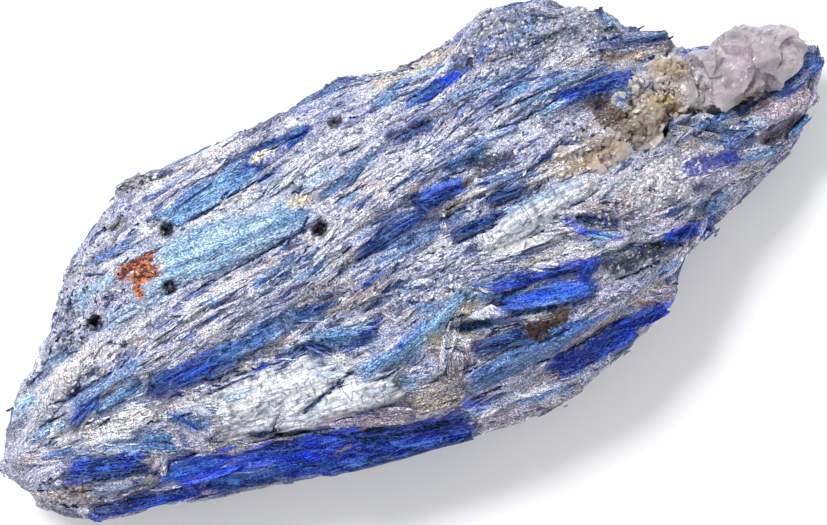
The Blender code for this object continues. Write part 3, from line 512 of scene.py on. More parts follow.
def arraysOf(mesh):
    # places, triangles and normals of a mesh, in mm
    mesh.calc_loop_triangles()
    points = np.empty(len(mesh.vertices) * 3, np.float32)
    mesh.vertices.foreach_get("co", points)
    triangles = np.empty(len(mesh.loop_triangles) * 3, np.int32)
    mesh.loop_triangles.foreach_get("vertices", triangles)
    normals = np.empty(len(mesh.vertices) * 3, np.float32)
    mesh.vertices.foreach_get("normal", normals)
    places = points.reshape(-1, 3).astype(float) / mm
    return places, triangles.reshape(-1, 3), normals.reshape(-1, 3).astype(float)


def remeshed(node, name, voxel, smoothing=0):
    # a fine, even copy of a CAD node
    obj = bpy.data.objects.new(name, node.data.copy())
    bpy.context.scene.collection.objects.link(obj)
    weld = obj.modifiers.new("weld", 'WELD')
    weld.merge_threshold = 0.000002
    grid = obj.modifiers.new("grid", 'REMESH')
    grid.mode = 'VOXEL'
    grid.voxel_size = voxel * mm
    if smoothing:
        ease = obj.modifiers.new("ease", 'SMOOTH')
        ease.factor = 0.5
        ease.iterations = smoothing
    finished = obj.evaluated_get(bpy.context.evaluated_depsgraph_get())
    result = bpy.data.meshes.new_from_object(finished)
    result.name = name
    obj.modifiers.clear()
    obj.data = result
    obj.data.materials.clear()
    return obj


def moveTo(obj, points, attributes, material):
    # gives a remeshed object its final places, in mm, and its looks
    obj.data.vertices.foreach_set("co", (points * mm).astype(np.float32).ravel())
    obj.data.update()
    dress(obj.data, attributes)
    obj.data.materials.append(material)
    print(f"{obj.name}: {sum(len(face.vertices) - 2 for face in obj.data.polygons)} triangles")


def treeOf(points, triangles):
    return BVHTree.FromPolygons(points.tolist(), triangles.tolist())


def topAt(x, y, tree):
    # the height of the upper face above a place, or nothing off the edge
    hit = tree.ray_cast(Vector((x, y, 90.0)), Vector((0.0, 0.0, -1.0)))[0]
    return hit and hit.z


bladePoints, bladeTriangles, _ = arraysOf(bladeNode.data)
bladeTree = treeOf(bladePoints, bladeTriangles)
quartzTree = treeOf(*arraysOf(quartzNode.data)[:2])


def addNode(tree, kind, **values):
    node = tree.nodes.new(kind)
    for key, value in values.items():
        setattr(node, key, value)
    return node


def attributeOut(tree, name, socket):
    return addNode(tree, "ShaderNodeAttribute", attribute_name=name).outputs[socket]


def fibreNoise(tree, lay, along, across, detail=2.0, roughness=0.6, swirl=0.0):
    # noise drawn out along the blades, counted in lumps to a mm
    scale = addNode(tree, "ShaderNodeVectorMath", operation='MULTIPLY')
    scale.inputs[1].default_value = (along, across, across)
    tree.links.new(lay, scale.inputs[0])
    noise = addNode(tree, "ShaderNodeTexNoise")
    noise.inputs["Scale"].default_value = 1.0
    noise.inputs["Detail"].default_value = detail
    noise.inputs["Roughness"].default_value = roughness
    noise.inputs["Distortion"].default_value = swirl
    tree.links.new(scale.outputs[0], noise.inputs["Vector"])
    return noise.outputs["Fac"]


def cellEdges(tree, lay, along, across):
    # distance to the borders of long cells
    scale = addNode(tree, "ShaderNodeVectorMath", operation='MULTIPLY')
    scale.inputs[1].default_value = (along, across, across)
    tree.links.new(lay, scale.inputs[0])
    cells = addNode(tree, "ShaderNodeTexVoronoi", feature='DISTANCE_TO_EDGE')
    cells.inputs["Scale"].default_value = 1.0
    tree.links.new(scale.outputs[0], cells.inputs["Vector"])
    return cells.outputs["Distance"]


def ramp(tree, source, low, high, toLow=0.0, toHigh=1.0):
    node = addNode(tree, "ShaderNodeMapRange", interpolation_type='SMOOTHSTEP')
    for socket, value in zip(("From Min", "From Max", "To Min", "To Max"), (low, high, toLow, toHigh)):
        node.inputs[socket].default_value = value
    tree.links.new(source, node.inputs["Value"])
    return node.outputs[0]


def sums(tree, operation, *sources):
    # a chain of one operation over several values
    result = sources[0]
    for source in sources[1:]:
        node = addNode(tree, "ShaderNodeMath", operation=operation)
        for socket, value in zip(node.inputs, (result, source)):
            if isinstance(value, bpy.types.NodeSocket):
                tree.links.new(value, socket)
            else:
                socket.default_value = value
        result = node.outputs[0]
    return result


def mixColour(tree, factor, first, second):
    node = addNode(tree, "ShaderNodeMix", data_type='RGBA')
    for socket, value in ((node.inputs[0], factor), (node.inputs[6], first), (node.inputs[7], second)):
        if isinstance(value, bpy.types.NodeSocket):
            tree.links.new(value, socket)
        else:
            socket.default_value = value
    return node.outputs[2]


def scaled(tree, factor, source):
    node = addNode(tree, "ShaderNodeVectorMath", operation='SCALE')
    tree.links.new(source, node.inputs[0])
    tree.links.new(factor, node.inputs["Scale"])
    return node.outputs[0]


def bumped(tree, shader, height, strength, distance):
    bump = addNode(tree, "ShaderNodeBump")
    bump.inputs["Strength"].default_value = strength
    bump.inputs["Distance"].default_value = distance * mm
    tree.links.new(height, bump.inputs["Height"])
    tree.links.new(bump.outputs[0], shader.inputs["Normal"])


def freshMaterial(name):
    mat = bpy.data.materials.new(name)
    mat.use_nodes = True
    tree = mat.node_tree
    tint = attributeOut(tree, "tint", "Color")
    lay = attributeOut(tree, "lay", "Vector")
    return mat, tree, tree.nodes["Principled BSDF"], tint, lay


plateFinish = {
    "cloud": (0.74, 1.14),            # darkest and brightest of the wide clouds
    "grain": (0.7, 1.2),              # and of the fine grain
    "crack": (0.07, 0.07, 0.12, 1.0),
    "crackShares": (0.6, 0.75),       # how dark the cracks along and across the plates are
    "roughness": 0.3,
    "specular": 0.35,
    "bump": 0.4,
    "bumpDepth": 0.14,
}


def plateMaterial(name):
    # smooth silvery mica plates, crazed by thin dark cracks
    mat, tree, shader, tint, lay = freshMaterial(name)
    cloud = fibreNoise(tree, lay, 0.35, 0.9, 3.0)
    grain = fibreNoise(tree, lay, 2.4, 4.0, 2.0)
    clouds = ramp(tree, cloud, 0.34, 0.66, *plateFinish["cloud"])
    grains = ramp(tree, grain, 0.38, 0.62, *plateFinish["grain"])
    colour = scaled(tree, sums(tree, 'MULTIPLY', clouds, grains), tint)
    along, across = plateFinish["crackShares"]
    lengthwise = ramp(tree, cellEdges(tree, lay, 0.22, 1.5), 0.02, 0.1, along, 0.0)
    lengthwise = sums(tree, 'MULTIPLY', lengthwise, ramp(tree, cloud, 0.44, 0.56))
    crossing = ramp(tree, cellEdges(tree, lay, 0.9, 0.4), 0.015, 0.06, across, 0.0)
    breaks = ramp(tree, fibreNoise(tree, lay, 0.9, 0.9, 2.0), 0.46, 0.56)
    lines = sums(tree, 'MAXIMUM', lengthwise, sums(tree, 'MULTIPLY', crossing, breaks))
    colour = mixColour(tree, lines, colour, plateFinish["crack"])
    tree.links.new(colour, shader.inputs["Base Color"])
    shader.inputs["Roughness"].default_value = plateFinish["roughness"]
    shader.inputs["Specular IOR Level"].default_value = plateFinish["specular"]
    height = sums(tree, 'ADD', grain, sums(tree, 'MULTIPLY', lines, -1.2))
    bumped(tree, shader, height, plateFinish["bump"], plateFinish["bumpDepth"])
    return mat


kyaniteFinish = {
    "broad": (0.7, 1.24),                 # darkest and brightest of the wide streaks
    "fine": (0.68, 1.24),                 # of the fine fibres
    "speck": (0.66, 1.3),                 # of the short ones
    "grit": (0.5, 1.46),                  # and of the smallest grains
    "white": (0.76, 0.79, 0.92, 1.0),
    "whiteShare": 0.24,
    "dark": (0.014, 0.034, 0.130, 1.0),
    "scratchShare": 0.5,                  # fine light lines, mostly on the broad blades
    "darkShare": 1.0,
    "vein": (0.17, 0.36, 0.74, 1.0),      # thin lines in the blue stone
    "crack": (0.06, 0.06, 0.10, 1.0),     # and in the pale stone
    "lineShare": 0.36,
    "roughness": (0.34, 0.68),
    "bump": 0.45,
    "bumpDepth": 0.14,
    "paintedGlintAndScratch": (0.66, 0.74, 0.92, 1.0),   # painted glints: tiny bright specks of reflected light
    "bluePaintedGlintAndScratch": (0.12, 0.28, 0.84, 1.0),
    "paintedGlintShare": 0.85,
    "specular": 0.04,
}


def kyaniteMaterial(name, whiteness=1.0, gloss=0.0, contrast=1.0, spread=1.0):
    mat, tree, shader, tint, lay = freshMaterial(name)
    # a spread of 2 makes every streak half as long, and curls it a little
    broad = fibreNoise(tree, lay, 0.2 * spread, 1.5, 3.0, swirl=0.7 * (spread - 1.0))
    fine = fibreNoise(tree, lay, 0.95 * spread, 5.2, 2.0, swirl=0.8 * (spread - 1.0))
    speck = fibreNoise(tree, lay, 2.4 * spread, 6.4, 2.0, swirl=0.6 * (spread - 1.0))
    grit = fibreNoise(tree, lay, 4.8, 7.6, 1.0)
    short = sums(tree, 'MULTIPLY', cellEdges(tree, lay, 1.5, 2.6), 1.6)
    net = sums(tree, 'MINIMUM', cellEdges(tree, lay, 0.3, 1.3), short)
    bright = addNode(tree, "ShaderNodeRGBToBW")
    tree.links.new(tint, bright.inputs[0])
    bright = ramp(tree, bright.outputs[0], 0.02, 0.3, 0.08, 1.0)
    shade = ramp(tree, grit, 0.38, 0.62, *kyaniteFinish["grit"])
    for noise, low, high, key in ((broad, 0.32, 0.68, "broad"), (fine, 0.36, 0.64, "fine"),
                                  (speck, 0.38, 0.62, "speck")):
        span = [1.0 + contrast * (end - 1.0) for end in kyaniteFinish[key]]
        shade = sums(tree, 'MULTIPLY', shade, ramp(tree, noise, low, high, *span))
    colour = scaled(tree, shade, tint)
    # bright fibres and specks, dark gaps, and short cleavage lines across the blades
    share = kyaniteFinish["whiteShare"] * whiteness
    fibres = ramp(tree, fine, 0.58, 0.72, 0.0, share)
    white = sums(tree, 'MAXIMUM', fibres, ramp(tree, speck, 0.6, 0.66, 0.0, 1.3 * share))
    white = sums(tree, 'MULTIPLY', white, bright)
    colour = mixColour(tree, white, colour, kyaniteFinish["white"])
    # painted glints: tiny bright specks of reflected light, bluish on the dark stone; the fine light
    # lines below take the same colour
    share = kyaniteFinish["paintedGlintShare"] * (0.7 + 0.3 * whiteness)
    paintedGlintDots = ramp(tree, grit, 0.65, 0.7, 0.0, share)
    paintedGlintAndScratch = mixColour(tree, bright, kyaniteFinish["bluePaintedGlintAndScratch"], kyaniteFinish["paintedGlintAndScratch"])
    colour = mixColour(tree, paintedGlintDots, colour, paintedGlintAndScratch)
    share = kyaniteFinish["scratchShare"] * (contrast - 0.8)
    scratches = ramp(tree, fibreNoise(tree, lay, 0.7, 9.0, 1.0), 0.6, 0.68, 0.0, share)
    colour = mixColour(tree, scratches, colour, paintedGlintAndScratch)
    gap = ramp(tree, fine, 0.5, 0.44, 0.0, kyaniteFinish["darkShare"])
    gap = sums(tree, 'MULTIPLY', ramp(tree, speck, 0.47, 0.42), gap)
    gap = sums(tree, 'MULTIPLY', gap, ramp(tree, broad, 0.58, 0.44, 0.15, 1.0))
    colour = mixColour(tree, gap, colour, kyaniteFinish["dark"])
    pale = ramp(tree, bright, 0.3, 0.8)
    lineColour = mixColour(tree, pale, kyaniteFinish["vein"], kyaniteFinish["crack"])
    lines = ramp(tree, net, 0.02, 0.07, kyaniteFinish["lineShare"], 0.0)
    lines = sums(tree, 'MULTIPLY', lines, ramp(tree, broad, 0.4, 0.56, 0.1, 1.0))
    colour = mixColour(tree, lines, colour, lineColour)
    tree.links.new(colour, shader.inputs["Base Color"])
    low, high = kyaniteFinish["roughness"]
    tree.links.new(ramp(tree, fine, 0.3, 0.7, low - gloss, high - gloss), shader.inputs["Roughness"])
    shader.inputs["Specular IOR Level"].default_value = kyaniteFinish["specular"]
    relief = sums(tree, 'ADD', fine, sums(tree, 'MULTIPLY', speck, 0.9))
    relief = sums(tree, 'ADD', relief, sums(tree, 'MULTIPLY', lines, -0.5))
    bumped(tree, shader, relief, kyaniteFinish["bump"], kyaniteFinish["bumpDepth"])
    return mat


mass = {
    "voxel": 0.52,
    "ledges": 0.4,            # height of the long ledges along the blades, mm
    "ledgeSize": (9.0, 2.1),  # and their length and width
    "ribs": 0.24,             # the same of the finer ribs
    "ribSize": (5.0, 1.0),
    "crumble": 0.3,
    "crust": 0.25,            # how far the crumbly places stand out
    "sink": 0.12,             # how far the mass stays under the blades laid over it
    "shade": 0.85,
}


def makeMass():
    obj = remeshed(bladeNode, "kyaniteMass", mass["voxel"])
    points, _, normals = arraysOf(obj.data)
    smooth = points.copy()
    lay = layOf(points)
    ledges = np.abs(2.0 * stretched(lay, *mass["ledgeSize"], 31) - 1.0)
    ribs = np.abs(2.0 * stretched(lay, *mass["ribSize"], 32) - 1.0)
    crumble = roughNoise(points / 1.6, 33, 2) - 0.5
    lift = mass["ledges"] * (0.25 - ledges) + mass["ribs"] * (0.25 - ribs) - mass["sink"]
    rough = crumbliness(points)
    lift += (mass["crumble"] + 1.3 * rough) * crumble - 0.7 * rough * lift + mass["crust"] * rough
    low = smoothStep(0.1, 1.6, points[:, 2])
    points = points + normals * (lift * low)[:, None]
    depth = carved(points, normals[:, 2])
    points[:, 2] -= depth
    colour = stoneColour(points, normals) * mass["shade"]
    # painted shade: the partings and the holes darken with their depth
    colour = blendTo(colour, linear("crack"), 0.9 * smoothStep(0.25, 0.8, depth))
    material = kyaniteMaterial("kyaniteStone", whiteness=0.8, gloss=-0.1, spread=2.0)
    moveTo(obj, points, {"tint": colour, "lay": lay}, material)
    return obj, smooth, normals


# x and y of both ends, width, lift above the mass, two colours, relief of the steps
blades = [
    (-31.5, 12.6, -10.2, 12.4, 7.0, .55, "sky", "ice", .5),
    (-26.6, 18.0, -13.2, 19.6, 3.2, .5, "blue", "sky", .5),
    (-25.6, 19.4, -18.6, 20.8, 1.2, .5, "royal", "blue", .4),
    (-16.6, 21.7, -5, 21.5, 1.3, .4, "navy", "steel", .4),
    (-12.8, 19.3, -4.6, 21.0, 1.1, .4, "navy", "slate", .3),
    (-49, -.7, -43.6, .9, 2.2, .45, "deep", "navy", .5),
    (-44.2, .1, -38, .9, 1.5, .4, "steel", "sky", .5),
    (-47.4, 1.7, -37.4, 2.7, 1.3, .35, "steel", "haze", .4),
    (-37.2, -1.1, -25.2, -.9, 4.2, .6, "navy", "deep", .6),
    (-25.8, -.8, -18.6, -.4, 2.3, .4, "steel", "navy", .5),
    (-50, 4.6, -42, 6.4, 3.0, .3, "bone", "pale", .3),
    (-48, -2.6, -38.4, -3.5, 2.8, .35, "bone", "silk", .3),
    (-52.6, -5.6, -41.6, -9.4, 4.6, .5, "navy", "deep", .6),
    (-41.6, -6.2, -36.8, -8.6, 3.4, .35, "steel", "blue", .5),
    (-41.2, -11.9, -32.2, -13.4, 3.8, .6, "royal", "cobalt", .6),
    (-52.4, -12.4, -38, -15.2, 2.6, .4, "deep", "cobalt", .4),
    (-33, -13.6, -17.4, -17.5, 4.0, .6, "cobalt", "deep", .6),
    (-25.4, -17.8, -3.6, -22.2, 4.8, .6, "deep", "navy", .6),
    (-38.4, -15.4, -22, -19.2, 2.8, .4, "navy", "deep", .4),
    (-15, -21.4, -1, -23.6, 2.2, .4, "navy", "deep", .4),
    (-29.6, -6.4, -15.6, -8.2, 5.0, .5, "silk", "bone", .3),
    (-22, -11.2, -9.2, -13, 4.0, .5, "silk", "bone", .3),
    (-15, -3.8, -8.6, -6.2, 2.6, .4, "blue", "steel", .5),
    (-11.6, -10.6, -5, -9.7, 2.6, .5, "blue", "sky", .5),
    (-6.4, -9.7, 4.4, -7.2, 2.4, .6, "sky", "blue", .5),
    (-6.6, -9.3, -1.2, -7.8, 1.1, .75, "cobalt", "deep", .3),
    (-6.2, 3.5, 3.6, 4.8, 2.0, .55, "navy", "deep", .6),
    (-1.2, 2.5, 4.2, 2.3, 1.3, .35, "blue", "steel", .4),
    (4.6, 6.6, 10.2, 6.2, 2.9, .8, "deep", "navy", .4),
    (3.9, 7.0, 5.0, 4.6, 1.8, .4, "ink", "deep", .15),
    (6.2, .9, 12.2, .5, 1.8, .45, "navy", "steel", .5),
    (12.2, 2.8, 17, 2.6, 1.2, .4, "navy", "steel", .3),
    (10.2, -1.8, 25, -.4, 3.7, .6, "silk", "frost", .3),
    (9.4, -3.7, 17.6, -4.3, 1.5, .6, "silk", "bone", .4),
    (8.2, -7.5, 20.4, -9.8, 1.8, .8, "deep", "cobalt", .4),
    (8.8, -10.1, 19.6, -12.4, 2.8, .75, "royal", "cobalt", .4),
    (19.4, -10.9, 21.8, -9.9, 1.7, .5, "cobalt", "royal", .3),
    (3, -13.6, 10, -15, 1.8, .5, "navy", "ink", .5),
    (-.2, -17.8, 14.2, -16.9, 3.5, .5, "slate", "steel", .25),
    (11, -20.8, 22.8, -20.1, 3.7, .6, "deep", "cobalt", .4),
    (21, -19.3, 27.8, -19.7, 2.0, .5, "cobalt", "deep", .3),
    (.2, -22.9, 12.6, -24.6, 2.0, .5, "pink", "lilac", .3),
    (4, -22.2, 11.8, -23.6, 1.2, .6, "blue", "sky", .3),
    (6.8, 18.1, 15.3, 19.4, 1.6, .55, "deep", "steel", .5),
    (4.4, 14.8, 9.8, 14.8, 1.1, .4, "navy", "steel", .3),
    (-8, 12.3, 3.2, 14.6, 1.3, .35, "steel", "sky", .4),
    (20, 14.2, 23.4, 14, 1.0, .35, "blue", "sky", .3),
    (19.6, 16.4, 26, 16.6, 1.6, .35, "steel", "navy", .4),
    (24, 12.8, 33, 12.3, 1.6, .5, "blue", "ice", .4),
    (25.4, 10.8, 35.4, 9.9, 2.6, .7, "navy", "deep", .6),
    (33, 8.3, 37.2, 6.6, 2.2, .6, "slate", "steel", .5),
    (36.2, 17.2, 40.4, 15.8, 1.9, .4, "sky", "ice", .4),
    (33.4, 14.7, 42.6, 12.8, 3.0, .5, "steel", "haze", .6),
    (9, 9, 15.2, 9.7, 1.5, .4, "steel", "blue", .4), (43, 9.7, 48.2, 9.3, 1.3, .8, "royal", "blue", .3),
    (53.2, -.3, 59.6, 1.3, 2.2, .5, "royal", "lilac", .5),
    (55.4, 7.1, 58.8, 4.9, 1.5, .4, "haze", "lilac", .3),
    (50, -2.2, 56.6, -2.2, 3.2, .4, "pink", "rose", .3),
    (45.4, -6.5, 50.4, -7.1, 1.2, .4, "slate", "sky", .3),
    (52, -6, 55.4, -4.8, 1.1, .4, "steel", "blue", .3),
    (38, -4.4, 43.8, -5.7, 2.4, .4, "cobalt", "steel", .5),
    (37.6, -10, 40.8, -10.2, 2.1, .5, "blue", "sky", .3),
    (31.4, -11, 35.6, -11.9, 2.0, .6, "royal", "cobalt", .3),
    (24.4, -16.6, 29.6, -17.9, 2.4, .5, "pink", "rose", .3),
    (21, -5.4, 25.6, -8.4, 1.1, .6, "cobalt", "sky", .3),
    (-8.4, -13.6, -4.4, -15, 2.2, .35, "sky", "lilac", .3),
    (-8, -16.6, -.6, -17.6, 3.6, .35, "clay", "tan", .25),
    (-1.6, -10.8, 3.2, -12.9, 2.0, .35, "clay", "haze", .25),
    (12, 7.9, 20.4, 6.5, 2.1, .4, "dusk", "slate", .3),
    (-15.2, -.3, -10.6, 0, 1.7, .4, "navy", "steel", .4),
    (-5.4, -1.8, -1.8, -2.0, 1.1, .35, "navy", "slate", .3),
    (-4.8, 1.1, 3.4, 1.3, 1.0, .3, "slate", "steel", .4),
    (-34, 2.9, -28, 3.5, .9, .35, "navy", "steel", .3),
    (-28.2, 3.9, -23.8, 4.5, .9, .35, "deep", "navy", .3),
    (-27.4, 6, -20.6, 6.6, .9, .35, "blue", "navy", .3),
    (-20.2, 5.4, -14.6, 6.4, 1.4, .35, "steel", "blue", .3),
    (-3.4, 6.6, 2.8, 7.4, 1.0, .35, "slate", "haze", .3),
    # folded and crossing blades
    (2.4, -8.8, -1.2, -12.8, 1.7, .3, "mist", "clay", .2),
    (.4, -10, -2.4, -14.4, 1.3, .5, "clay", "mist", .2),
    (.2, -12.6, -2.2, -18.8, 2.2, .3, "clay", "mist", .2),
    (-2.4, -14.8, -3.8, -18.4, 1.4, .4, "umber", "clay", .3),
    (2.0, -12.2, .6, -17.6, 1.4, .2, "clay", "lilac", .2),
    (-36.4, -4.4, -33.6, -8.6, 1.5, .7, "cobalt", "blue", .4),
    (-34, -4.2, -31.4, -7.6, 1.0, .9, "silk", "ice", .2),
    (-32.6, -5.6, -28.2, -8.6, 1.5, .5, "ice", "silk", .3),
    (-30.4, -8.6, -26.8, -11, 1.1, .7, "silk", "bone", .2),
    (-37.8, -7.2, -36.6, -10.4, 1.0, .6, "haze", "pale", .2),
    (-39.6, -9.6, -41.6, -12.2, .9, .6, "bone", "silk", .2),
    (-6, -3.6, -4.4, -6.4, 1.0, .6, "rose", "lilac", .2),
    (-17.6, -3.2, -14.2, -6.8, 1.3, .6, "deep", "navy", .3),
    (5.2, -5.6, 10.4, -8.4, 1.2, .5, "steel", "slate", .3),
    (6.2, 4.4, 5.4, 1.4, .9, .5, "bone", "tan", .2),
    (22.4, -5.6, 26.6, -8.8, 1.1, .8, "sky", "blue", .3),
]

sheets = {
    "across": 0.2,              # grid of a blade's face, mm
    "along": 0.75,
    "skirt": 1.3,               # how far its sides go down into the mass
    "ribs": 0.13,               # height of the fine ribs along a blade, mm
    "ribSize": (8.0, 0.36),     # and their length and width
    "grooves": 0.1,
    "grooveSize": (10.0, 0.8),
    "stepSize": (6.0, 0.9),
    "bandSize": (9.0, 0.55),    # lighter and darker bands of colour
    "ragged": 0.2,              # raggedness of the long edges
    "broken": 0.5,              # and of the ends
    "rimDip": 0.12,             # how far the whole rim bends down, mm
    "endDip": 0.4,              # and the ends besides
    "namedLift": 0.4,           # share of the lift given in the table
    "standing": 0.8,            # most that any of it stands off the stone, mm
    "edgeOut": 0.06,            # rise towards the lower long edge, mm in each mm
}

bundles = {
    "upper": 520,
    "flank": 330,
    "length": (5.0, 20.0),
    "width": (0.7, 2.9),
    "lift": (-0.1, 0.42),
    "relief": (0.12, 0.5),
    "yaw": 7.0,           # degrees off the grain
    "roll": 0.14,
    "pitch": 0.02,
    "shades": (0.84, 1.18),
    # tones that now and then replace the stone's own, and how often
    "stray": (("royal", .06), ("steel", .1), ("frost", .12), ("haze", .1), ("dusk", .05), ("tan", .04)),
}

# silvery plates cracked by fine cleavage: both ends, width
silvery = [
    (-30.4, -6.6, -14.6, -8.4, 6.2), (-32, -9.6, -24, -11, 3.4), (-23, -11.2, -8.6, -13.4, 5.2),
    (10.2, -2, 24.6, -.5, 3.4),
]

# what each tone of a blade streaks into
partner = {
    "ink": "navy", "navy": "deep", "deep": "cobalt", "cobalt": "royal", "royal": "cobalt",
    "blue": "sky", "steel": "blue", "slate": "steel", "sky": "ice", "ice": "sky",
    "silk": "frost", "pink": "lilac", "tan": "bone", "clay": "tan", "lilac": "haze",
}


def minorBlades():
    # a thinner blade under each long streak of colour that has none
    found = []
    for index, (x0, y0, x1, y1, width, tone, _) in enumerate(patches):
        length = math.hypot(x1 - x0, y1 - y0)
        if tone not in partner or length < 2.4 or width < 0.8 or width > 5.0:
            continue
        middle = np.array((((x0 + x1) / 2.0, (y0 + y1) / 2.0, 0.0),))
        if min(nearness(middle, *row[:5])[0] for row in blades + silvery) < 0.8:
            continue
        low = 0.15 + 0.5 * cellNumber(np.array(((index, 5, 9),)), 6)[0]
        found.append((x0, y0, x1, y1, width, low, tone, partner[tone], 0.35))
    return found


def frameOn(out, angle):
    # directions along and across a blade that lies on a face
    run = Vector((math.cos(angle), math.sin(angle), 0.0))
    run = (run - out * run.dot(out)).normalized()
    return run, out.cross(run)


def fitSheet(origin, run, side, out, length, width, loose):
    # a gently curved sheet through the face under a blade: six numbers of a quadratic
    rows, heights = [], []
    missed = 0
    for u in np.linspace(-0.48, 0.48, 7):
        for v in np.linspace(-0.42, 0.42, 3):
            start = origin + run * (float(u) * length) + side * (float(v) * width) + out * 5.0
            hit = bladeTree.ray_cast(start, -out, 11.0)[0]
            if hit is None and loose:
                hit = bladeTree.find_nearest(start - out * 5.0)[0]
            if hit is None:
                missed += 1
                continue
            rows.append((1.0, u, v, u * u, u * v, v * v))
            heights.append((hit - origin).dot(out))
    if missed > 2 or (not loose and max(heights) - min(heights) > 1.2 + 0.16 * length):
        return None
    rows, heights = np.array(rows), np.array(heights)
    weights = np.ones(len(heights))
    for _ in range(4):
        fit = np.linalg.lstsq(rows * weights[:, None], heights * weights, rcond=None)[0]
        above = heights - rows @ fit
        weights = np.where(above > 0.0, 1.0, 0.35) / (1.0 + np.abs(above))
    return fit


def sheetRow(origin, out, angle, length, width, loose=False, **looks):
    run, side = frameOn(out, angle)
    fit = fitSheet(origin, run, side, out, length, width, loose)
    if fit is None or abs(run.z) > 0.55:
        return None
    return dict(origin=origin, run=run, side=side, out=out, angle=angle,
                length=length, width=width, fit=fit, **looks)


def namedBlades(table):
    rows = []
    for x0, y0, x1, y1, width, lift, first, second, relief in table:
        x, y = 0.5 * (x0 + x1), 0.5 * (y0 + y1)
        top = topAt(x, y, bladeTree)
        if top is None:
            continue
        looks = dict(lift=lift * sheets["namedLift"], roll=-sheets["edgeOut"], pitch=0.0, relief=relief,
                     shade=1.0, first=linear(first), second=linear(second), own=0.95, spare=0.0)
        angle, length = math.atan2(y1 - y0, x1 - x0), math.hypot(x1 - x0, y1 - y0)
        place, out = Vector((x, y, top)), Vector((0.0, 0.0, 1.0))
        rows.append(sheetRow(place, out, angle, length, width, True, **looks))
    return rows


def randomBundles(upper, count, seed, massPoints, massNormals):
    rng = np.random.default_rng(seed)
    places, _ = surfaceSamples(bladePoints, bladeTriangles, count * 9, rng)
    broad = smoothNormals(massPoints, massNormals, places)
    angles = bladeAngle(places)
    names = [name for name, _ in bundles["stray"]]
    shares = np.array([share for _, share in bundles["stray"]])
    rows = []
    for place, out, angle in zip(places, broad, angles):
        if (out[2] > 0.35) != upper or place[2] < 1.0 or quartzTree.find_nearest(Vector(place))[3] < 1.2:
            continue
        if upper and rng.random() < 0.9 * crumbliness(place[None])[0]:
            continue
        low, high = bundles["length"]
        length = low * (high / low) ** (rng.random() ** 1.3)
        low, high = bundles["width"]
        width = (low + (high - low) * rng.random() ** 1.6) * (0.6 + 0.4 * length / 20.0)
        pick = rng.random()
        stray = int(np.searchsorted(np.cumsum(shares), pick))
        tone = linear(names[stray]) if stray < len(names) else np.zeros(3)
        looks = dict(lift=rng.uniform(*bundles["lift"]), roll=rng.normal(-0.06, bundles["roll"]),
                     pitch=rng.normal(0.0, bundles["pitch"]), relief=rng.uniform(*bundles["relief"]),
                     shade=rng.uniform(*bundles["shades"]), first=tone, second=tone * 0.8,
                     own=0.6 if stray < len(names) else 0.0, spare=1.0)
        angle = angle + math.radians(rng.normal(0.0, bundles["yaw"]))
        heading = np.array(((math.cos(angle), math.sin(angle), 0.0),))
        for _ in range(3):
            row = sheetRow(Vector(place), Vector(out), angle, length, width, **looks)
            reach = place + heading * np.linspace(-0.5, 0.5, 7)[:, None] * length
            if row and (not upper or max(glassiness(reach).max(), hollowness(reach).max()) < 0.5):
                rows.append(row)
                break
            length *= 0.6
        if len(rows) == count:
            break
    return rows


def sheetGrids(rows):
    # every blade's face, skirt and foot: places on it from -0.5 to 0.5, its number, where the foot is
    us, vs, owners, quads, triples, rims = [], [], [], [], [], []
    offset = 0
    for index, row in enumerate(rows):
        nu = max(5, int(row["length"] / sheets["along"])) + 1
        nv = max(4, int(row["width"] / sheets["across"])) + 1
        u, v = np.meshgrid(np.linspace(-0.5, 0.5, nu), np.linspace(-0.5, 0.5, nv), indexing='ij')
        grid = np.arange(nu * nv).reshape(nu, nv)
        corners = (grid[:-1, :-1], grid[1:, :-1], grid[1:, 1:], grid[:-1, 1:])
        quads.append(offset + np.stack(corners, -1).reshape(-1, 4))
        rim = np.concatenate((grid[:, 0], grid[-1, 1:], grid[-2::-1, -1], grid[0, -2:0:-1]))
        ring = np.arange(len(rim))
        foot = nu * nv + ring
        after = np.roll(foot, -1)
        skirt = np.stack((rim, foot, after, np.roll(rim, -1)), 1)
        quads.append(offset + skirt)
        triples.append(offset + np.stack((after, foot, np.full(len(rim), nu * nv + len(rim))), 1))
        us += [u.ravel(), u.ravel()[rim], [0.0]]
        vs += [v.ravel(), v.ravel()[rim], [0.0]]
        total = nu * nv + len(rim) + 1
        owners.append(np.full(total, index))
        low = np.zeros(total)
        low[nu * nv:] = 1.0
        rims.append(low)
        offset += total
    return [np.concatenate(block) for block in (us, vs, owners, rims, quads, triples)]


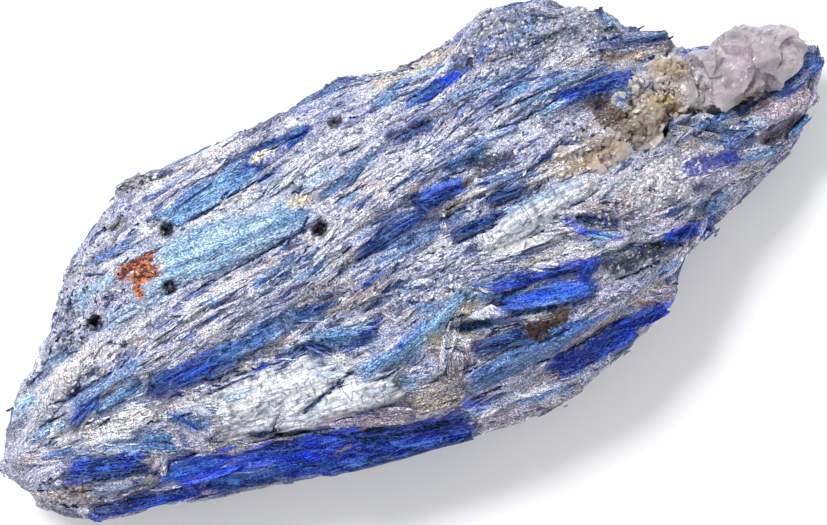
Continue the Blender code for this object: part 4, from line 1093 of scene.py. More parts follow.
def sheetArrays(rows, first=0):
    # every blade as a fine sheet with ribs, steps, ragged ends and a skirt down into the mass
    u, v, k, foot, quads, triples = sheetGrids(rows)
    pull = {name: np.array([row[name] for row in rows])[k] for name in rows[0]}
    length, width, out = pull["length"], pull["width"], pull["out"]
    number = 13.7 * (k + first)
    lay = np.stack((u * length, v * width, number), 1)
    ends = roughNoise(np.stack((7.0 * np.sign(u), v * width / 0.7, number), 1), 61) - 0.5
    edges = roughNoise(np.stack((u * length / 2.2, 5.0 * np.sign(v), number), 1), 62) - 0.5
    slant = (cellNumber(np.stack((k + first, np.sign(u).astype(int), k * 0), 1), 4) - 0.5) * 1.6
    endward, edgeward = np.abs(2.0 * u), np.abs(2.0 * v)
    shift = endward ** 4 * (2.0 * sheets["broken"] * np.sqrt(width) * ends + slant * v * width)
    newU = u + shift / length
    fray = sheets["ragged"] * 2.0 * edges * edgeward ** 2 * np.sign(v) / np.maximum(width, 1.0)
    newV = v * (1.0 - 0.3 * endward ** 4) + fray
    powers = np.stack((np.ones(len(u)), newU, newV, newU * newU, newU * newV, newV * newV), 1)
    height = (pull["fit"] * powers).sum(1)
    height += pull["lift"] + pull["roll"] * newV * width + pull["pitch"] * newU * length
    ribs = stretched(lay, *sheets["ribSize"], 63)
    grooves = np.abs(2.0 * stretched(lay, *sheets["grooveSize"], 65, 3) - 1.0)
    terrace = stretched(lay, *sheets["stepSize"], 64)
    steps = np.floor(terrace * 6.0) / 6.0 + 0.15 * terrace
    rimward = np.maximum(endward, edgeward)
    relief = sheets["ribs"] * 2.0 * (ribs - 0.5) + pull["relief"] * (steps - 0.5)
    relief -= sheets["grooves"] * (1.0 - smoothStep(0.0, 0.22, grooves))
    dip = sheets["rimDip"] * smoothStep(0.8, 1.0, rimward)
    relief -= dip + sheets["endDip"] * smoothStep(0.84, 1.0, endward)
    height += relief * (1.0 - foot) - foot * (sheets["skirt"] + np.maximum(pull["lift"], 0.0))
    points = pull["origin"] + pull["run"] * (newU * length)[:, None]
    points = points + pull["side"] * (newV * width)[:, None] + out * height[:, None]
    depth = carved(points, out[:, 2]) * (1.0 - foot)
    points = hugged(points - out * depth[:, None], sheets["standing"])
    colour = stoneColour(points, out)
    mixed = blendTo(pull["first"], pull["second"], smoothStep(0.4, 0.62, stretched(lay, 5.0, 0.7, 66)))
    mixed = blendTo(mixed, colour, 0.75 * smoothStep(0.56, 0.66, stretched(lay, 7.0, 0.45, 68)))
    deepness = 1.0 - smoothStep(0.1, 0.4, mixed.mean(1))
    for tone, share, low, high, size, seed in (("sky", 0.5 - 0.3 * deepness, 0.64, 0.7, (3.6, 0.3), 70),
                                               ("ink", 0.65 * deepness, 0.55, 0.64, (5.0, 0.9), 71),
                                               ("royal", 0.45 * deepness, 0.62, 0.68, (3.0, 0.9), 74)):
        mixed = blendTo(mixed, linear(tone), share * smoothStep(low, high, stretched(lay, *size, seed)))
    core = 1.0 - smoothStep(0.66, 1.04, rimward + 1.5 * (stretched(lay, 4.0, 0.45, 67, 3) - 0.5))
    colour = blendTo(colour, mixed, pull["own"] * (pull["spare"] + (1.0 - pull["spare"]) * core))
    bands = smoothStep(0.36, 0.64, stretched(lay, *sheets["bandSize"], 69, 3))
    colour = colour * (pull["shade"] * (0.66 + 0.3 * ribs + 0.38 * bands))[:, None]
    points, colour = crackle(points, colour, out)
    # painted shade: dark in the partings and holes, and on the skirt and foot under each blade's edge
    colour = blendTo(colour, linear("crack"), np.maximum(0.9 * smoothStep(0.3, 0.8, depth), 0.65 * foot))
    lays = lay + np.stack((31.0 * (k + first), 0.0 * u, foot * sheets["skirt"]), 1)
    owners = [k[block[:, 0]] for block in (quads, triples)]
    return points, [quads, triples], {"tint": colour, "lay": lays}, owners


cracks = {
    "sets": ((-52.0, 1.2, 72), (12.0, 1.5, 73)),    # turn in degrees, spacing in mm, seed
    "depth": 0.16,
    "tone": "dusk",
    "toneShare": 0.7,
}


def crackle(points, colour, out):
    # two crossing sets of uneven cleavage cracks over the silvery plates
    zone = np.zeros(len(points))
    for x0, y0, x1, y1, width in silvery:
        zone = np.maximum(zone, 1.0 - smoothStep(0.8, 1.1, nearness(points, x0, y0, x1, y1, width)))
    zone *= smoothStep(0.3, 0.6, out[:, 2])
    flat = points * (1.0, 1.0, 0.0)
    bend = roughNoise(flat / 3.0, 71, 2) * 2.2
    for turn, gap, seed in cracks["sets"]:
        a = math.radians(turn)
        line = (flat[:, 0] * math.cos(a) + flat[:, 1] * math.sin(a)) / gap + bend
        away = np.abs(line - np.round(line)) * gap
        broken = smoothStep(0.38, 0.6, softNoise(flat / 1.3, seed))
        cut = zone * (1.0 - smoothStep(0.03, 0.22, away)) * broken
        points = points - out * (cracks["depth"] * cut)[:, None]
        colour = blendTo(colour, linear(cracks["tone"]), cracks["toneShare"] * cut)
    return points, colour


def makeSheets(massPoints, massNormals):
    glossy = kyaniteMaterial("kyaniteBlade", whiteness=0.1, gloss=0.08, contrast=1.5, spread=1.3)
    plain = kyaniteMaterial("kyaniteBundle", spread=1.9)
    silver = plateMaterial("silveryMica")
    named = [row for row in blades if row[6] != "silk"] + minorBlades()
    plates = [row for row in blades if row[6] == "silk"]
    plates += [(*row, .5, "silk", "frost", .25) for row in silvery]
    upper = randomBundles(True, bundles["upper"], 51, massPoints, massNormals)
    flank = randomBundles(False, bundles["flank"], 52, massPoints, massNormals)
    made, surface = [], []
    start = 0
    for name, rows, material in (("broadBlades", namedBlades(named), glossy),
                                 ("silverPlates", namedBlades(plates), silver),
                                 ("upperBundles", upper, plain),
                                 ("flankBundles", flank, plain)):
        points, (quads, triples), attributes, (quadOwners, tripleOwners) = sheetArrays(rows, start)
        made.append(meshObject(name, points, [quads, triples], attributes, material))
        triangles = np.concatenate((quads[:, (0, 1, 2)], quads[:, (0, 2, 3)], triples))
        owners = np.concatenate((quadOwners, quadOwners, tripleOwners))
        angles = np.array([row["angle"] for row in rows])[owners]
        surface.append((points, triangles, angles))
        start += len(rows)
    return made, surface


strands = {
    "upper": 4600,
    "flank": 4200,
    "length": (0.6, 4.2),
    "width": (0.25, 1.05),
    "thick": (0.08, 0.22),
    "stray": 10.0,          # degrees off the bundle that a strand lies on
    "lift": (-0.05, 0.1),
    "roll": 0.5,
    "shades": (0.88, 1.18),
    "white": 0.03,
    "dark": 0.12,
}


def smoothNormals(samplePoints, sampleNormals, points, cell=2.5):
    # the broad slope of the surface round each point
    spots = {}
    keys = np.floor(samplePoints / cell).astype(int)
    for key, normal in zip(map(tuple, keys), sampleNormals):
        spots[key] = spots.get(key, 0.0) + normal
    found = np.zeros_like(points)
    steps = [(x, y, z) for x in (-1, 0, 1) for y in (-1, 0, 1) for z in (-1, 0, 1)]
    for i, (a, b, c) in enumerate(np.floor(points / cell).astype(int)):
        for x, y, z in steps:
            found[i] += spots.get((a + x, b + y, c + z), 0.0)
    return unit(found)


def surfaceSamples(points, triangles, count, rng):
    # places spread evenly over a surface
    a, b, c = (points[triangles[:, i]] for i in range(3))
    cross = np.cross(b - a, c - a)
    area = np.linalg.norm(cross, axis=1)
    picked = rng.choice(len(area), count, p=area / area.sum())
    u, v = rng.random(count), rng.random(count)
    flip = u + v > 1.0
    u[flip], v[flip] = 1.0 - u[flip], 1.0 - v[flip]
    places = a[picked] + (b - a)[picked] * u[:, None] + (c - a)[picked] * v[:, None]
    return places, unit(cross[picked])


def strandArrays(centre, along, out, length, width, thick, rng):
    # thin flat slivers: a four-sided section on three rings, the ends broken aslant
    count = len(centre)
    side = unit(np.cross(out, along))
    up = np.cross(along, side)
    section = np.array(((1.0, -1.0), (0.62, 1.0), (-0.62, 1.0), (-1.0, -1.0)))
    stations = np.array((-0.5, 0.0, 0.5))
    middle = rng.uniform(-0.2, 0.2, count)
    girth = np.stack([rng.uniform(*span, count) for span in ((0.15, 0.9), (0.9, 1.1), (0.15, 0.9))], 1)
    drop = np.stack([rng.uniform(*span, count) for span in ((0.1, 0.9), (0.0, 0.1), (0.1, 0.9))], 1)
    sway = rng.normal(0.0, 0.2, (count, 3)) * width[:, None]
    slant = rng.uniform(-1.2, 1.2, (count, 3)) * (1.0, 0.0, 1.0)
    lean = rng.uniform(-0.5, 0.5, count)
    points = np.empty((count, 3, 4, 3))
    local = np.empty((count, 3, 4, 3))
    for ring in range(3):
        for corner in range(4):
            across, above = section[corner]
            y = across * 0.5 * width * girth[:, ring]
            z = above * 0.5 * thick * (1.0 + lean * across) - drop[:, ring] * thick * (above > 0)
            x = (stations[ring] + (middle if ring == 1 else 0.0)) * length + slant[:, ring] * y
            points[:, ring, corner] = (centre + along * x[:, None] + side * (y + sway[:, ring])[:, None]
                                       + up * z[:, None])
            local[:, ring, corner] = np.stack((x, y, z), 1)
    first = np.arange(count)[:, None, None] * 12
    quads = [(ring * 4 + c, ring * 4 + (c + 1) % 4, ring * 4 + (c + 1) % 4 + 4, ring * 4 + c + 4)
             for ring in range(2) for c in range(4)]
    quads += [(3, 2, 1, 0), (8, 9, 10, 11)]
    # every sliver has its own piece of the fibre pattern
    local += rng.uniform(-400.0, 400.0, (count, 1, 1, 3))
    return points.reshape(-1, 3), (first + np.array(quads)[None]).reshape(-1, 4), local.reshape(-1, 3)


def strandObject(name, arrays, tones, material, most=None):
    points, faces, local = arrays
    if most:
        points = hugged(points, most)
    looks = {"tint": np.repeat(tones, 12, axis=0), "lay": local}
    return meshObject(name, points, [faces], looks, material, True)


def roomFor(places, rng):
    # whether a strand may lie at each place: seldom on a smooth blade, never in a hollow
    chance = np.minimum(1.0 - 0.85 * crumbliness(places), 1.0 - 0.96 * glassiness(places))
    chance = np.minimum(chance, 1.0 - np.maximum(hollowness(places), slitness(places)))
    for row in folds:
        chance = np.minimum(chance, 0.15 + 0.85 * smoothStep(0.8, 1.2, nearness(places, *row)))
    return rng.random(len(places)) < chance


def strandTones(places, normals, rng):
    tone = stoneColour(places, normals) * rng.uniform(*strands["shades"], (len(places), 1))
    light = smoothStep(0.05, 0.3, tone.mean(1))
    tone = blendTo(tone, linear("silk"), 0.7 * light * (rng.random(len(tone)) < strands["white"]))
    pick = rng.random(len(tone))
    tone = blendTo(tone, linear("navy"), 0.85 * (pick < strands["dark"]))
    return blendTo(tone, linear("ink"), 0.7 * (pick > 1.0 - 0.5 * strands["dark"]))


def strandSizes(count, rng):
    low, high = strands["length"]
    length = low * (high / low) ** (rng.random(count) ** 1.2)
    low, high = strands["width"]
    width = (low + (high - low) * rng.random(count) ** 1.5) * (0.6 + 0.4 * smoothStep(1.5, 6.0, length))
    return length, width, rng.uniform(*strands["thick"], count)


def upperStrands(tree, angles, seed, material):
    # strands combed over the bundles and blades, each laid between two points of the surface
    rng = np.random.default_rng(seed)
    down = Vector((0.0, 0.0, -1.0))
    count = strands["upper"]
    spots = rng.uniform(*plan, (count * 5, 2))
    spots = spots[roomFor(spots, rng)]
    lengths, widths, thicks = strandSizes(len(spots), rng)
    turns = np.radians(rng.normal(0.0, strands["stray"], len(spots)))
    lifts = rng.uniform(*strands["lift"], len(spots))
    grain = bladeAngle(np.column_stack((spots, 0.0 * spots[:, 0]))) + turns
    heading = np.stack((np.cos(grain), np.sin(grain)), 1)
    lines = spots + np.linspace(-0.5, 0.5, 7)[:, None, None] * lengths[:, None] * heading
    # none lies over a hole or a slit
    blocked = np.max([np.maximum(hollowness(line), slitness(line)) for line in lines], axis=0) > 0.3
    centre, along, out, sizes = [], [], [], []
    for i, (x, y) in enumerate(spots):
        hit, normal, face, _ = tree.ray_cast(Vector((x, y, 60.0)), down)
        if hit is None or blocked[i] or normal.z < 0.3 or quartzTree.find_nearest(hit)[3] < 0.7:
            continue
        angle = angles[face] + turns[i]
        step = Vector((math.cos(angle), math.sin(angle), 0.0))
        length = lengths[i]
        for _ in range(4):
            above = [Vector((x, y, 60.0)) + step * (0.5 * length * way) for way in (-1, 1)]
            ends = [tree.ray_cast(place, down)[0] for place in above]
            if all(ends) and abs(ends[1].z - ends[0].z) < 0.45 * length:
                middle = 0.5 * (ends[0].z + ends[1].z)
                if abs(middle - hit.z) < 0.25 + 0.03 * length:
                    break
            length *= 0.6
        else:
            continue
        centre.append((x, y, max(middle, hit.z - 0.1) + lifts[i]))
        along.append(ends[1] - ends[0])
        out.append(0.5 * normal + Vector((0.0, 0.0, 0.5)))
        sizes.append((length, widths[i], thicks[i]))
        if len(centre) == count:
            break
    centre, along, out = np.array(centre), unit(np.array(along)), unit(np.array(out))
    length, width, thick = np.array(sizes).T
    side = unit(np.cross(out, along))
    out = unit(out + side * rng.normal(0.0, strands["roll"] * 0.5, len(out))[:, None])
    tones = strandTones(centre, out, rng)
    made = []
    for name, part in (("leftStrands", centre[:, 0] < -2.0), ("rightStrands", centre[:, 0] >= -2.0)):
        picked = (block[part] for block in (centre, along, out, length, width, thick))
        arrays = strandArrays(*picked, rng)
        made.append(strandObject(name, arrays, tones[part], material, sheets["standing"] + 0.3))
    return made


threads = {
    "tones": ("ink", "crack", "navy", "dusk"),
    "spacing": 0.55,
    "length": (0.8, 2.0),
    "width": (0.2, 0.45),
    "thick": 0.12,
    "stray": 0.12,        # radians off the line of the parting
}


def partingShadeThreads(tree, material):
    # dark threads down in the partings, so that they read as sharp lines: painted shade, in part the
    # stone's own dark partings
    rng = np.random.default_rng(31)
    rows = []
    for x0, y0, x1, y1, width in slits:
        run = math.hypot(x1 - x0, y1 - y0)
        for share in np.arange(0.5 / run, 1.0, threads["spacing"] / run):
            x = x0 + (x1 - x0) * share + rng.normal(0.0, 0.05)
            y = y0 + (y1 - y0) * share + rng.normal(0.0, 0.08 + 0.08 * width)
            top = topAt(x, y, tree)
            if top is not None:
                angle = math.atan2(y1 - y0, x1 - x0) + rng.normal(0.0, threads["stray"])
                length = rng.uniform(*threads["length"])
                rows.append((x, y, top + 0.02, angle, length,
                             rng.uniform(*threads["width"]) * (0.6 + 0.8 * width)))
    x, y, z, angle, length, width = np.array(rows).T
    centre = np.stack((x, y, z), 1)
    along = np.stack((np.cos(angle), np.sin(angle), 0.0 * angle), 1)
    up = np.tile((0.0, 0.0, 1.0), (len(x), 1))
    arrays = strandArrays(centre, along, up, length, width, np.full(len(x), threads["thick"]), rng)
    tones = np.array([linear(name) for name in threads["tones"]])
    return strandObject("partingShadeThreads", arrays, tones[rng.integers(len(tones), size=len(x))], material)


def flankStrands(massPoints, massNormals, seed, material):
    rng = np.random.default_rng(seed)
    count = strands["flank"]
    places, faceNormals = surfaceSamples(bladePoints, bladeTriangles, count * 4, rng)
    broad = smoothNormals(massPoints, massNormals, places)
    keep = (broad[:, 2] <= 0.4) & (places[:, 2] > 0.5) & ((faceNormals * broad).sum(1) > 0.2)
    keep &= np.array([quartzTree.find_nearest(Vector(place))[3] > 0.9 for place in places])
    places, faceNormals, broad = (block[keep][:count] for block in (places, faceNormals, broad))
    out = unit(0.4 * faceNormals + 0.6 * broad)
    angle = bladeAngle(places) + np.radians(rng.normal(0.0, strands["stray"], len(places)))
    along = np.stack((np.cos(angle), np.sin(angle), np.zeros(len(places))), 1)
    along = unit(along - out * (along * out).sum(1)[:, None])
    length, width, thick = strandSizes(len(places), rng)
    width, thick = width * 1.5, thick * 1.3
    for i, (place, run) in enumerate(zip(places, along)):
        for _ in range(5):
            reach = [place + run * (length[i] * way) for way in (-0.5, 0.5)]
            if max(bladeTree.find_nearest(Vector(end))[3] for end in reach) < 0.4:
                break
            length[i] *= 0.72
    lift = rng.uniform(0.0, 0.3, len(places))
    side = unit(np.cross(out, along))
    centre = places + out * (lift - 0.2 * thick)[:, None]
    out = unit(out + side * rng.normal(0.0, 0.5 * strands["roll"], len(out))[:, None])
    arrays = strandArrays(centre, along, out, length, width, thick, rng)
    tones = strandTones(places, broad, rng)
    return strandObject("flankStrands", arrays, tones, material, sheets["standing"])


# heaps of grains: x, y, half sizes, how many, grain size, how flat, colours
heaps = [
    (-32.2, 14.3, 2.5, .8, 120, (.3, .9), .35, ("rust", "ember", "garnet", "rust", "bone")),
    (-31.6, 12.9, 1.8, .8, 80, (.3, .8), .35, ("rust", "garnet", "rust", "ember")),
    (-33.3, 11.4, .6, 1.0, 40, (.3, .6), .35, ("rust", "ember")),
    (-31.0, 15.1, 2.0, .35, 50, (.3, .6), .35, ("ember", "ember", "rust")),
    (-43.6, 11.4, 2.4, 3.4, 190, (.25, .8), .8, ("crack", "ink", "haze", "grey", "pale")),
    (-42.4, 14.6, 5.0, 3.4, 110, (.25, .6), .5, ("crack", "ink", "char", "dusk")),
    (-36.0, 18.6, 4.0, 2.2, 70, (.25, .6), .5, ("crack", "ink", "dusk")),
    (26.0, 20.0, 8.6, 4.2, 560, (.25, .75), .6, ("grey", "haze", "pale", "crack", "bone", "dusk")),
    (20.0, 23.0, 4.6, 2.0, 200, (.3, .8), .7, ("grey", "haze", "clay", "bone", "dusk")),
    (14.4, 7.4, 2.3, .9, 110, (.3, .6), .7, ("char", "char", "dusk", "grey")),
    (26.6, -11.8, 4.2, 1.3, 200, (.3, .8), .7, ("char", "crack", "dusk", "grey", "frost")),
    (34.0, -4.4, 5.4, 3.0, 420, (.25, .7), .8, ("bone", "pale", "silk", "clay", "haze")),
    (-12.0, 1.8, 2.6, 1.4, 130, (.25, .6), .8, ("char", "dusk", "clay", "haze", "grey")),
    (11.0, -14.8, 1.3, 1.2, 60, (.4, 1.3), .7, ("garnet", "garnet", "crack")),
    (13.9, -14.5, 1.3, .7, 46, (.3, .9), .7, ("umber", "garnet", "char")),
    (-28.8, 18.2, .9, .8, 46, (.3, .7), .6, ("silk", "bone")),
    (-12.1, 20.6, 1.0, .5, 26, (.3, .7), .5, ("cream", "silk", "bone")),
    (-9.7, 13.2, 1.0, .9, 40, (.3, .7), .5, ("cream", "bone")),
    (-9.8, -.6, .6, .5, 16, (.3, .6), .6, ("silk",)),
    (-28.6, 24.2, 2.2, .9, 110, (.4, .9), .8, ("grey", "clay", "crack", "ink")),
    (25.8, -5.6, 3.0, 1.2, 110, (.25, .7), .6, ("umber", "clay", "dusk", "haze")),
    (34.6, 16.2, 3.6, 2.0, 200, (.25, .7), .7, ("bone", "clay", "grey", "haze", "dusk")),
    (-54.0, -9.0, 3.0, 1.6, 150, (.3, .8), .7, ("clay", "grey", "umber", "haze")),
    (22.0, 7.4, 4.4, 1.8, 160, (.3, .8), .7, ("grey", "haze", "bone", "dusk")),
    (0.5, -4.0, 4.8, 1.6, 220, (.25, .7), .6, ("grey", "pale", "slate", "dusk", "bone")),
    (12.6, -14.1, 1.2, .3, 9, (.3, .5), .7, ("ember", "bone")),
# dark grains down in every hole, as painted shade
] + [(x, y, 0.95 * half, 0.8 * half, 46, (.45, .9), .5, ("crack", "ink")) for x, y, half, _ in pits]


def grainArrays(centre, size, flat, turn, rng):
    # small angular grains, each a jolted twenty-sided lump
    golden = (1.0 + 5.0 ** 0.5) / 2.0
    base = np.array((
        (-1, golden, 0), (1, golden, 0), (-1, -golden, 0), (1, -golden, 0),
        (0, -1, golden), (0, 1, golden), (0, -1, -golden), (0, 1, -golden),
        (golden, 0, -1), (golden, 0, 1), (-golden, 0, -1), (-golden, 0, 1)))
    base = base / np.linalg.norm(base[0])
    faces = np.array((
        (0, 11, 5), (0, 5, 1), (0, 1, 7), (0, 7, 10), (0, 10, 11), (1, 5, 9), (5, 11, 4), (11, 10, 2),
        (10, 7, 6), (7, 1, 8), (3, 9, 4), (3, 4, 2), (3, 2, 6), (3, 6, 8), (3, 8, 9), (4, 9, 5),
        (2, 4, 11), (6, 2, 10), (8, 6, 7), (9, 8, 1)))
    count = len(centre)
    shape = base[None] * (0.5 * size[:, None, None]) * rng.uniform(0.7, 1.15, (count, 12, 1))
    long, wide = rng.uniform(0.9, 1.6, count), rng.uniform(0.6, 1.0, count)
    shape = shape * np.stack((long, wide, flat), 1)[:, None]
    tip = rng.normal(0.0, 0.35, (count, 2))
    c, s = np.cos(turn)[:, None], np.sin(turn)[:, None]
    x, y, z = shape[..., 0], shape[..., 1], shape[..., 2]
    z = z + x * tip[:, :1] + y * tip[:, 1:]
    points = np.stack((x * c - y * s, x * s + y * c, z), -1) + centre[:, None]
    return points.reshape(-1, 3), (np.arange(count)[:, None, None] * 12 + faces[None]).reshape(-1, 3)


crumbs = {
    "tries": 30000,       # places tried; only those on a crust get a crumb
    "size": (0.22, 0.62),
    "shades": (0.5, 1.4),
    "local": 0.35,        # share of the stone's own colour in a heap
    "mottle": (0.55, 1.4),
    "roughness": (0.45, 0.75),
    "bump": 0.5,
    "bumpDepth": 0.15,
}


def crumbMaterial(name):
    mat, tree, shader, tint, lay = freshMaterial(name)
    mottle = fibreNoise(tree, lay, 2.6, 2.6, 4.0)
    colour = scaled(tree, ramp(tree, mottle, 0.32, 0.68, *crumbs["mottle"]), tint)
    tree.links.new(colour, shader.inputs["Base Color"])
    tree.links.new(ramp(tree, mottle, 0.3, 0.7, *crumbs["roughness"]), shader.inputs["Roughness"])
    bumped(tree, shader, mottle, crumbs["bump"], crumbs["bumpDepth"])
    return mat


def makeGrains(tree):
    rng = np.random.default_rng(77)
    centres, sizes, flats, tones = [], [], [], []
    for x, y, halfX, halfY, count, (small, large), flat, names in heaps:
        for _ in range(count):
            angle, reach = rng.uniform(0.0, 2.0 * math.pi), math.sqrt(rng.random())
            spotX = x + halfX * reach * math.cos(angle)
            spotY = y + halfY * reach * math.sin(angle)
            size = rng.uniform(small, large)
            top = topAt(spotX, spotY, tree)
            if top is None:
                continue
            centres.append((spotX, spotY, top + rng.uniform(-0.35, 0.05) * size))
            sizes.append(size)
            flats.append(flat * rng.uniform(0.7, 1.2))
            tones.append(linear(names[rng.integers(len(names))]) * rng.uniform(0.75, 1.25))
    # crumbs over the crusts, in the colours of the stone about them
    spots = rng.uniform(*plan, (crumbs["tries"], 2))
    spots = spots[rng.random(len(spots)) < crumbliness(spots)]
    spots = [(x, y, topAt(x, y, tree)) for x, y in spots]
    spots = [spot for spot in spots if spot[2] is not None]
    for spotX, spotY, top in spots:
        size = rng.uniform(*crumbs["size"])
        centres.append((spotX, spotY, top + rng.uniform(-0.3, 0.1) * size))
        sizes.append(size)
        flats.append(rng.uniform(0.5, 0.9))
    centres, sizes, flats, tones = (np.array(block) for block in (centres, sizes, flats, tones))
    local = stoneColour(centres, np.tile((0.0, 0.0, 1.0), (len(centres), 1)))
    vivid = 1.0 - tones.min(1) / tones.max(1)
    # strong colours keep their own tone
    tones = blendTo(tones, local[:len(tones)], crumbs["local"] * (1.0 - smoothStep(0.5, 0.8, vivid)))
    shades = rng.uniform(*crumbs["shades"], (len(spots), 1))
    tones = np.concatenate((tones, local[len(tones):] * shades))
    turn = bladeAngle(centres) + rng.normal(0.0, 0.5, len(centres))
    points, faces = grainArrays(centres, sizes, flats, turn, rng)
    looks = {"tint": np.repeat(tones, 12, axis=0), "lay": points}
    return meshObject("surfaceGrains", points, [faces], looks, crumbMaterial("grainCrust"), True)


quartz = {
    "voxel": 0.28,
    "smoothing": 3,
    "facets": ((4.4, 0.6), (1.7, 0.3)),     # size of the broken faces and how steep they are
    "crumble": (0.8, 0.6),                  # and of those in the stained part
    "stains": [
        (29.5, 8, 32, 5.2, 3.2, "umber", .85), (31, 6.8, 32.6, 5.8, 1.3, "umber", .5),
        (33, 3.8, 38.5, 4, 3.2, "olive", .6), (24, 2.4, 30, 2.4, 2.6, "gold", .35),
        (25.5, 3.8, 29, 3.4, 2.0, "umber", .5), (40.2, 8.8, 42, 8, 2.8, "gold", .5),
        (41, 7, 42.4, 6.6, 1.4, "umber", .6), (37, 5.6, 39.4, 4.6, 2.2, "gold", .5),
        (38, 4, 40, 3.6, 1.2, "umber", .6), (46.8, 3.5, 48.2, 2.8, 1.6, "umber", .35),
        (47.4, .9, 50, 1, 1.6, "umber", .55), (36, 2.6, 39, 3.2, 1.2, "umber", .8),
        (43, 9, 47, 8.6, 1.2, "haze", .5), (48, 9, 52, 9.4, 1.4, "grey", .4),
        (50, 4, 54, 3, 2.2, "grey", .3),
    ],
    "grains": 640,
    "grainsAlong": (22.0, 44.0),            # where they lie: the span of x, and of y halfway along
    "grainsAcross": (0.2, 10.8),
    "grainSize": (0.35, 1.4),
    "shades": (0.85, 1.3),
    "cloud": (0.76, 1.2),                   # darkest and brightest of the clouds
    "brightVeins": (0.80, 0.77, 0.80, 1.0),
    "darkVeins": (0.22, 0.18, 0.22, 1.0),
    "veinShares": (0.5, 0.35),
    "roughness": (0.1, 0.34),
    "refraction": 1.54,
    "clearness": 0.3,
    "milkiness": 0.25,
    "milkReach": 1.2,                       # how deep light soaks in, mm
    "bump": 0.45,
    "bumpDepth": 0.25,
}


def quartzMaterial():
    mat, tree, shader, tint, lay = freshMaterial("milkyQuartz")
    cloud = fibreNoise(tree, lay, 0.4, 0.5, 4.0)
    veins = fibreNoise(tree, lay, 0.8, 2.6, 3.0)
    bright, dark = quartz["veinShares"]
    colour = scaled(tree, ramp(tree, cloud, 0.32, 0.68, *quartz["cloud"]), tint)
    colour = mixColour(tree, ramp(tree, veins, 0.58, 0.7, 0.0, bright), colour, quartz["brightVeins"])
    colour = mixColour(tree, ramp(tree, veins, 0.42, 0.3, 0.0, dark), colour, quartz["darkVeins"])
    tree.links.new(colour, shader.inputs["Base Color"])
    tree.links.new(ramp(tree, cloud, 0.3, 0.7, *quartz["roughness"]), shader.inputs["Roughness"])
    shader.inputs["IOR"].default_value = quartz["refraction"]
    shader.inputs["Transmission Weight"].default_value = quartz["clearness"]
    shader.inputs["Subsurface Weight"].default_value = quartz["milkiness"]
    shader.inputs["Subsurface Radius"].default_value = (1.0, 0.8, 0.8)
    shader.inputs["Subsurface Scale"].default_value = quartz["milkReach"] * mm
    bumped(tree, shader, veins, quartz["bump"], quartz["bumpDepth"])
    return mat


def quartzColour(points):
    colour = np.tile(linear("petal"), (len(points), 1))
    colour = blendTo(colour, linear("milk"), smoothStep(0.4, 0.65, roughNoise(points / 3.0, 81)))
    colour = blendTo(colour, linear("tan"), 0.5 * (1.0 - smoothStep(38.0, 45.0, points[:, 0])))
    ragged = 0.5 * (roughNoise(points / 1.2, 82) - 0.5)
    for x0, y0, x1, y1, width, name, strength in quartz["stains"]:
        near = nearness(points, x0, y0, x1, y1, width) + ragged
        colour = blendTo(colour, linear(name), strength * (1.0 - smoothStep(0.6, 1.15, near)))
    return colour


def brokenFaces(points, size, seed):
    # the height of slanted faces, one for each of many scattered cells
    home = np.floor(points / size).astype(int)
    nearest = np.full(len(points), 1e9)
    height = np.zeros(len(points))
    for step in [(a, b, c) for a in (-1, 0, 1) for b in (-1, 0, 1) for c in (-1, 0, 1)]:
        cell = home + step
        away = points - size * (cell + np.stack([cellNumber(cell, 10 * seed + k) for k in range(3)], 1))
        slope = np.stack([cellNumber(cell, 10 * seed + k) - 0.5 for k in range(3, 6)], 1)
        gap = (away * away).sum(1)
        closer = gap < nearest
        nearest[closer] = gap[closer]
        height[closer] = 2.0 * (away * slope).sum(1)[closer]
    return height


def makeQuartz(material):
    obj = remeshed(quartzNode, "quartzMass", quartz["voxel"], quartz["smoothing"])
    points, _, normals = arraysOf(obj.data)
    lift = np.zeros(len(points))
    for i, (size, slope) in enumerate(quartz["facets"]):
        lift += slope * brokenFaces(points, size, 83 + i)
    size, slope = quartz["crumble"]
    lift += slope * (1.0 - smoothStep(40.0, 45.0, points[:, 0])) * brokenFaces(points, size, 89)
    points = points + normals * (np.clip(lift, -1.0, 0.8) - 0.1)[:, None]
    moveTo(obj, points, {"tint": quartzColour(points), "lay": points}, material)
    obj.data.shade_flat()
    return obj


def makeQuartzGrains(material, tree):
    # lumps in the stained hollow and along the edge of the clear quartz
    rng = np.random.default_rng(91)
    centres, sizes = [], []
    while len(centres) < quartz["grains"]:
        x = rng.uniform(*quartz["grainsAlong"])
        y = rng.uniform(*quartz["grainsAcross"]) + 0.12 * (x - 34.0)
        ground = max(topAt(x, y, tree) or 0.0, topAt(x, y, quartzTree) or 0.0)
        # the strip of grains widens to the right, and none lies beyond the edge of the stone
        if ground > 5.0 and abs(y - 4.6 - 0.16 * (x - 30.0)) < 1.4 + 0.16 * (x - 22.0):
            size = rng.uniform(*quartz["grainSize"])
            centres.append((x, y, ground + rng.uniform(-0.4, 0.0) * size))
            sizes.append(size)
    centres, sizes = np.array(centres), np.array(sizes)
    flats, turns = rng.uniform(0.6, 0.9, len(sizes)), rng.uniform(0, 6.3, len(sizes))
    points, faces = grainArrays(centres, sizes, flats, turns, rng)
    tones = quartzColour(centres) * rng.uniform(*quartz["shades"], (len(centres), 1))
    looks = {"tint": np.repeat(tones, 12, axis=0), "lay": points}
    return meshObject("quartzGrains", points, [faces], looks, material, True)


studio = {
    "floor": (0.93, 0.93, 0.94),
    "floorSide": 1.2,              # half its length, metres
    "floorRoughness": 0.7,
    "world": 0.69,
    "key": {"place": (-0.12, 0.38, 0.54), "size": 0.2, "power": 4.1},
    "fill": {"place": (0.5, -0.3, 0.6), "size": 0.6, "power": 0.8},
}

view = {
    "lens": 200.0,
    "height": 600.6,               # above the middle of the specimen, mm
    "aim": (0.198, -0.222, 14.0),
    "roll": -25.0,                 # brings the specimen's long axis up to the right
}


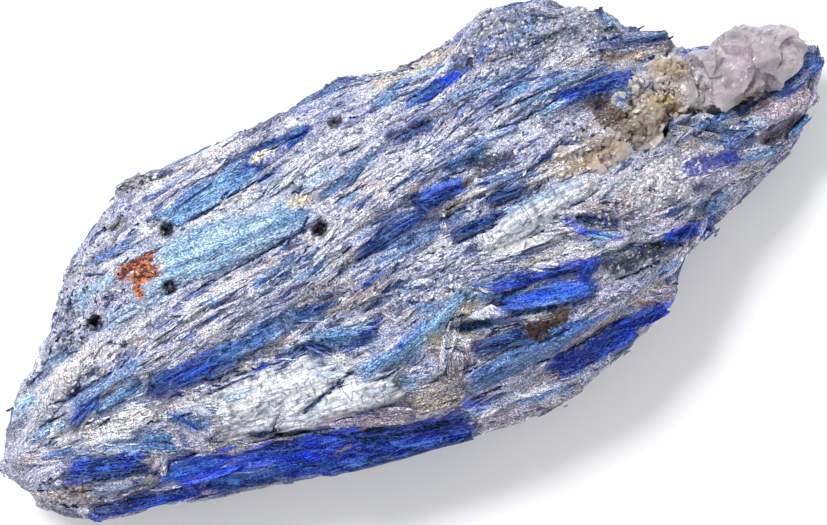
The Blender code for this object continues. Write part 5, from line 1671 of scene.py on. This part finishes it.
def makeStage():
    mesh = bpy.data.meshes.new("floor")
    side = studio["floorSide"]
    corners = [(-side, -side, 0), (side, -side, 0), (side, side, 0), (-side, side, 0)]
    mesh.from_pydata(corners, [], [(0, 1, 2, 3)])
    floor = bpy.data.objects.new("floor", mesh)
    bpy.context.scene.collection.objects.link(floor)
    mat = bpy.data.materials.new("paleFloor")
    mat.use_nodes = True
    shader = mat.node_tree.nodes["Principled BSDF"]
    shader.inputs["Base Color"].default_value = (*studio["floor"], 1.0)
    shader.inputs["Roughness"].default_value = studio["floorRoughness"]
    mesh.materials.append(mat)
    world = bpy.data.worlds.new("studio")
    bpy.context.scene.world = world
    world.use_nodes = True
    world.node_tree.nodes["Background"].inputs["Color"].default_value = (1.0, 1.0, 1.0, 1.0)
    world.node_tree.nodes["Background"].inputs["Strength"].default_value = studio["world"]
    for name in ("key", "fill"):
        light = bpy.data.lights.new(name, 'AREA')
        light.size = studio[name]["size"]
        light.energy = studio[name]["power"]
        lamp = bpy.data.objects.new(name, light)
        lamp.location = studio[name]["place"]
        lamp.rotation_euler = (-Vector(studio[name]["place"])).to_track_quat('-Z', 'Y').to_euler()
        bpy.context.scene.collection.objects.link(lamp)
    bpy.context.scene.view_settings.view_transform = 'Standard'


def makeCamera():
    lens = bpy.data.cameras.new("camera")
    lens.lens = view["lens"]
    lens.sensor_width = 36.0
    lens.clip_start = 0.05
    lens.clip_end = 5.0
    camera = bpy.data.objects.new("camera", lens)
    x, y, z = view["aim"]
    camera.location = (x * mm, y * mm, (z + view["height"]) * mm)
    camera.rotation_euler = (0.0, 0.0, math.radians(view["roll"]))
    bpy.context.scene.collection.objects.link(camera)
    bpy.context.scene.camera = camera


makeStage()
makeCamera()
print("stage and camera are set")

massObject, massPoints, massNormals = makeMass()
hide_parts("kyanite_blades")
sheetObjects, surface = makeSheets(massPoints, massNormals)
print("blades and bundles are laid")

finalPoints, finalTriangles, _ = arraysOf(massObject.data)
parts = [(finalPoints, finalTriangles, bladeAngle(finalPoints[finalTriangles[:, 0]]))] + surface[:3]
offsets = np.cumsum([0] + [len(part[0]) for part in parts[:-1]])
faceTree = treeOf(np.concatenate([part[0] for part in parts]),
                  np.concatenate([part[1] + offset for part, offset in zip(parts, offsets)]))
faceAngles = np.concatenate([part[2] for part in parts]).tolist()

strandMaterial = kyaniteMaterial("kyaniteStrand", gloss=0.02, spread=1.7)
bladePieces = [massObject] + sheetObjects
bladePieces += upperStrands(faceTree, faceAngles, 21, strandMaterial)
bladePieces.append(flankStrands(massPoints, massNormals, 22, strandMaterial))
bladePieces += [partingShadeThreads(faceTree, strandMaterial), makeGrains(faceTree)]
print("strands and grains are combed in")

quartzStuff = quartzMaterial()
quartzPiece = makeQuartz(quartzStuff)
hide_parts("quartz")
quartzPieces = [quartzPiece, makeQuartzGrains(quartzStuff, faceTree)]
print("quartz is made")

for piece in bladePieces:
    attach(piece, "root")
for piece in quartzPieces:
    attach(piece, "root")
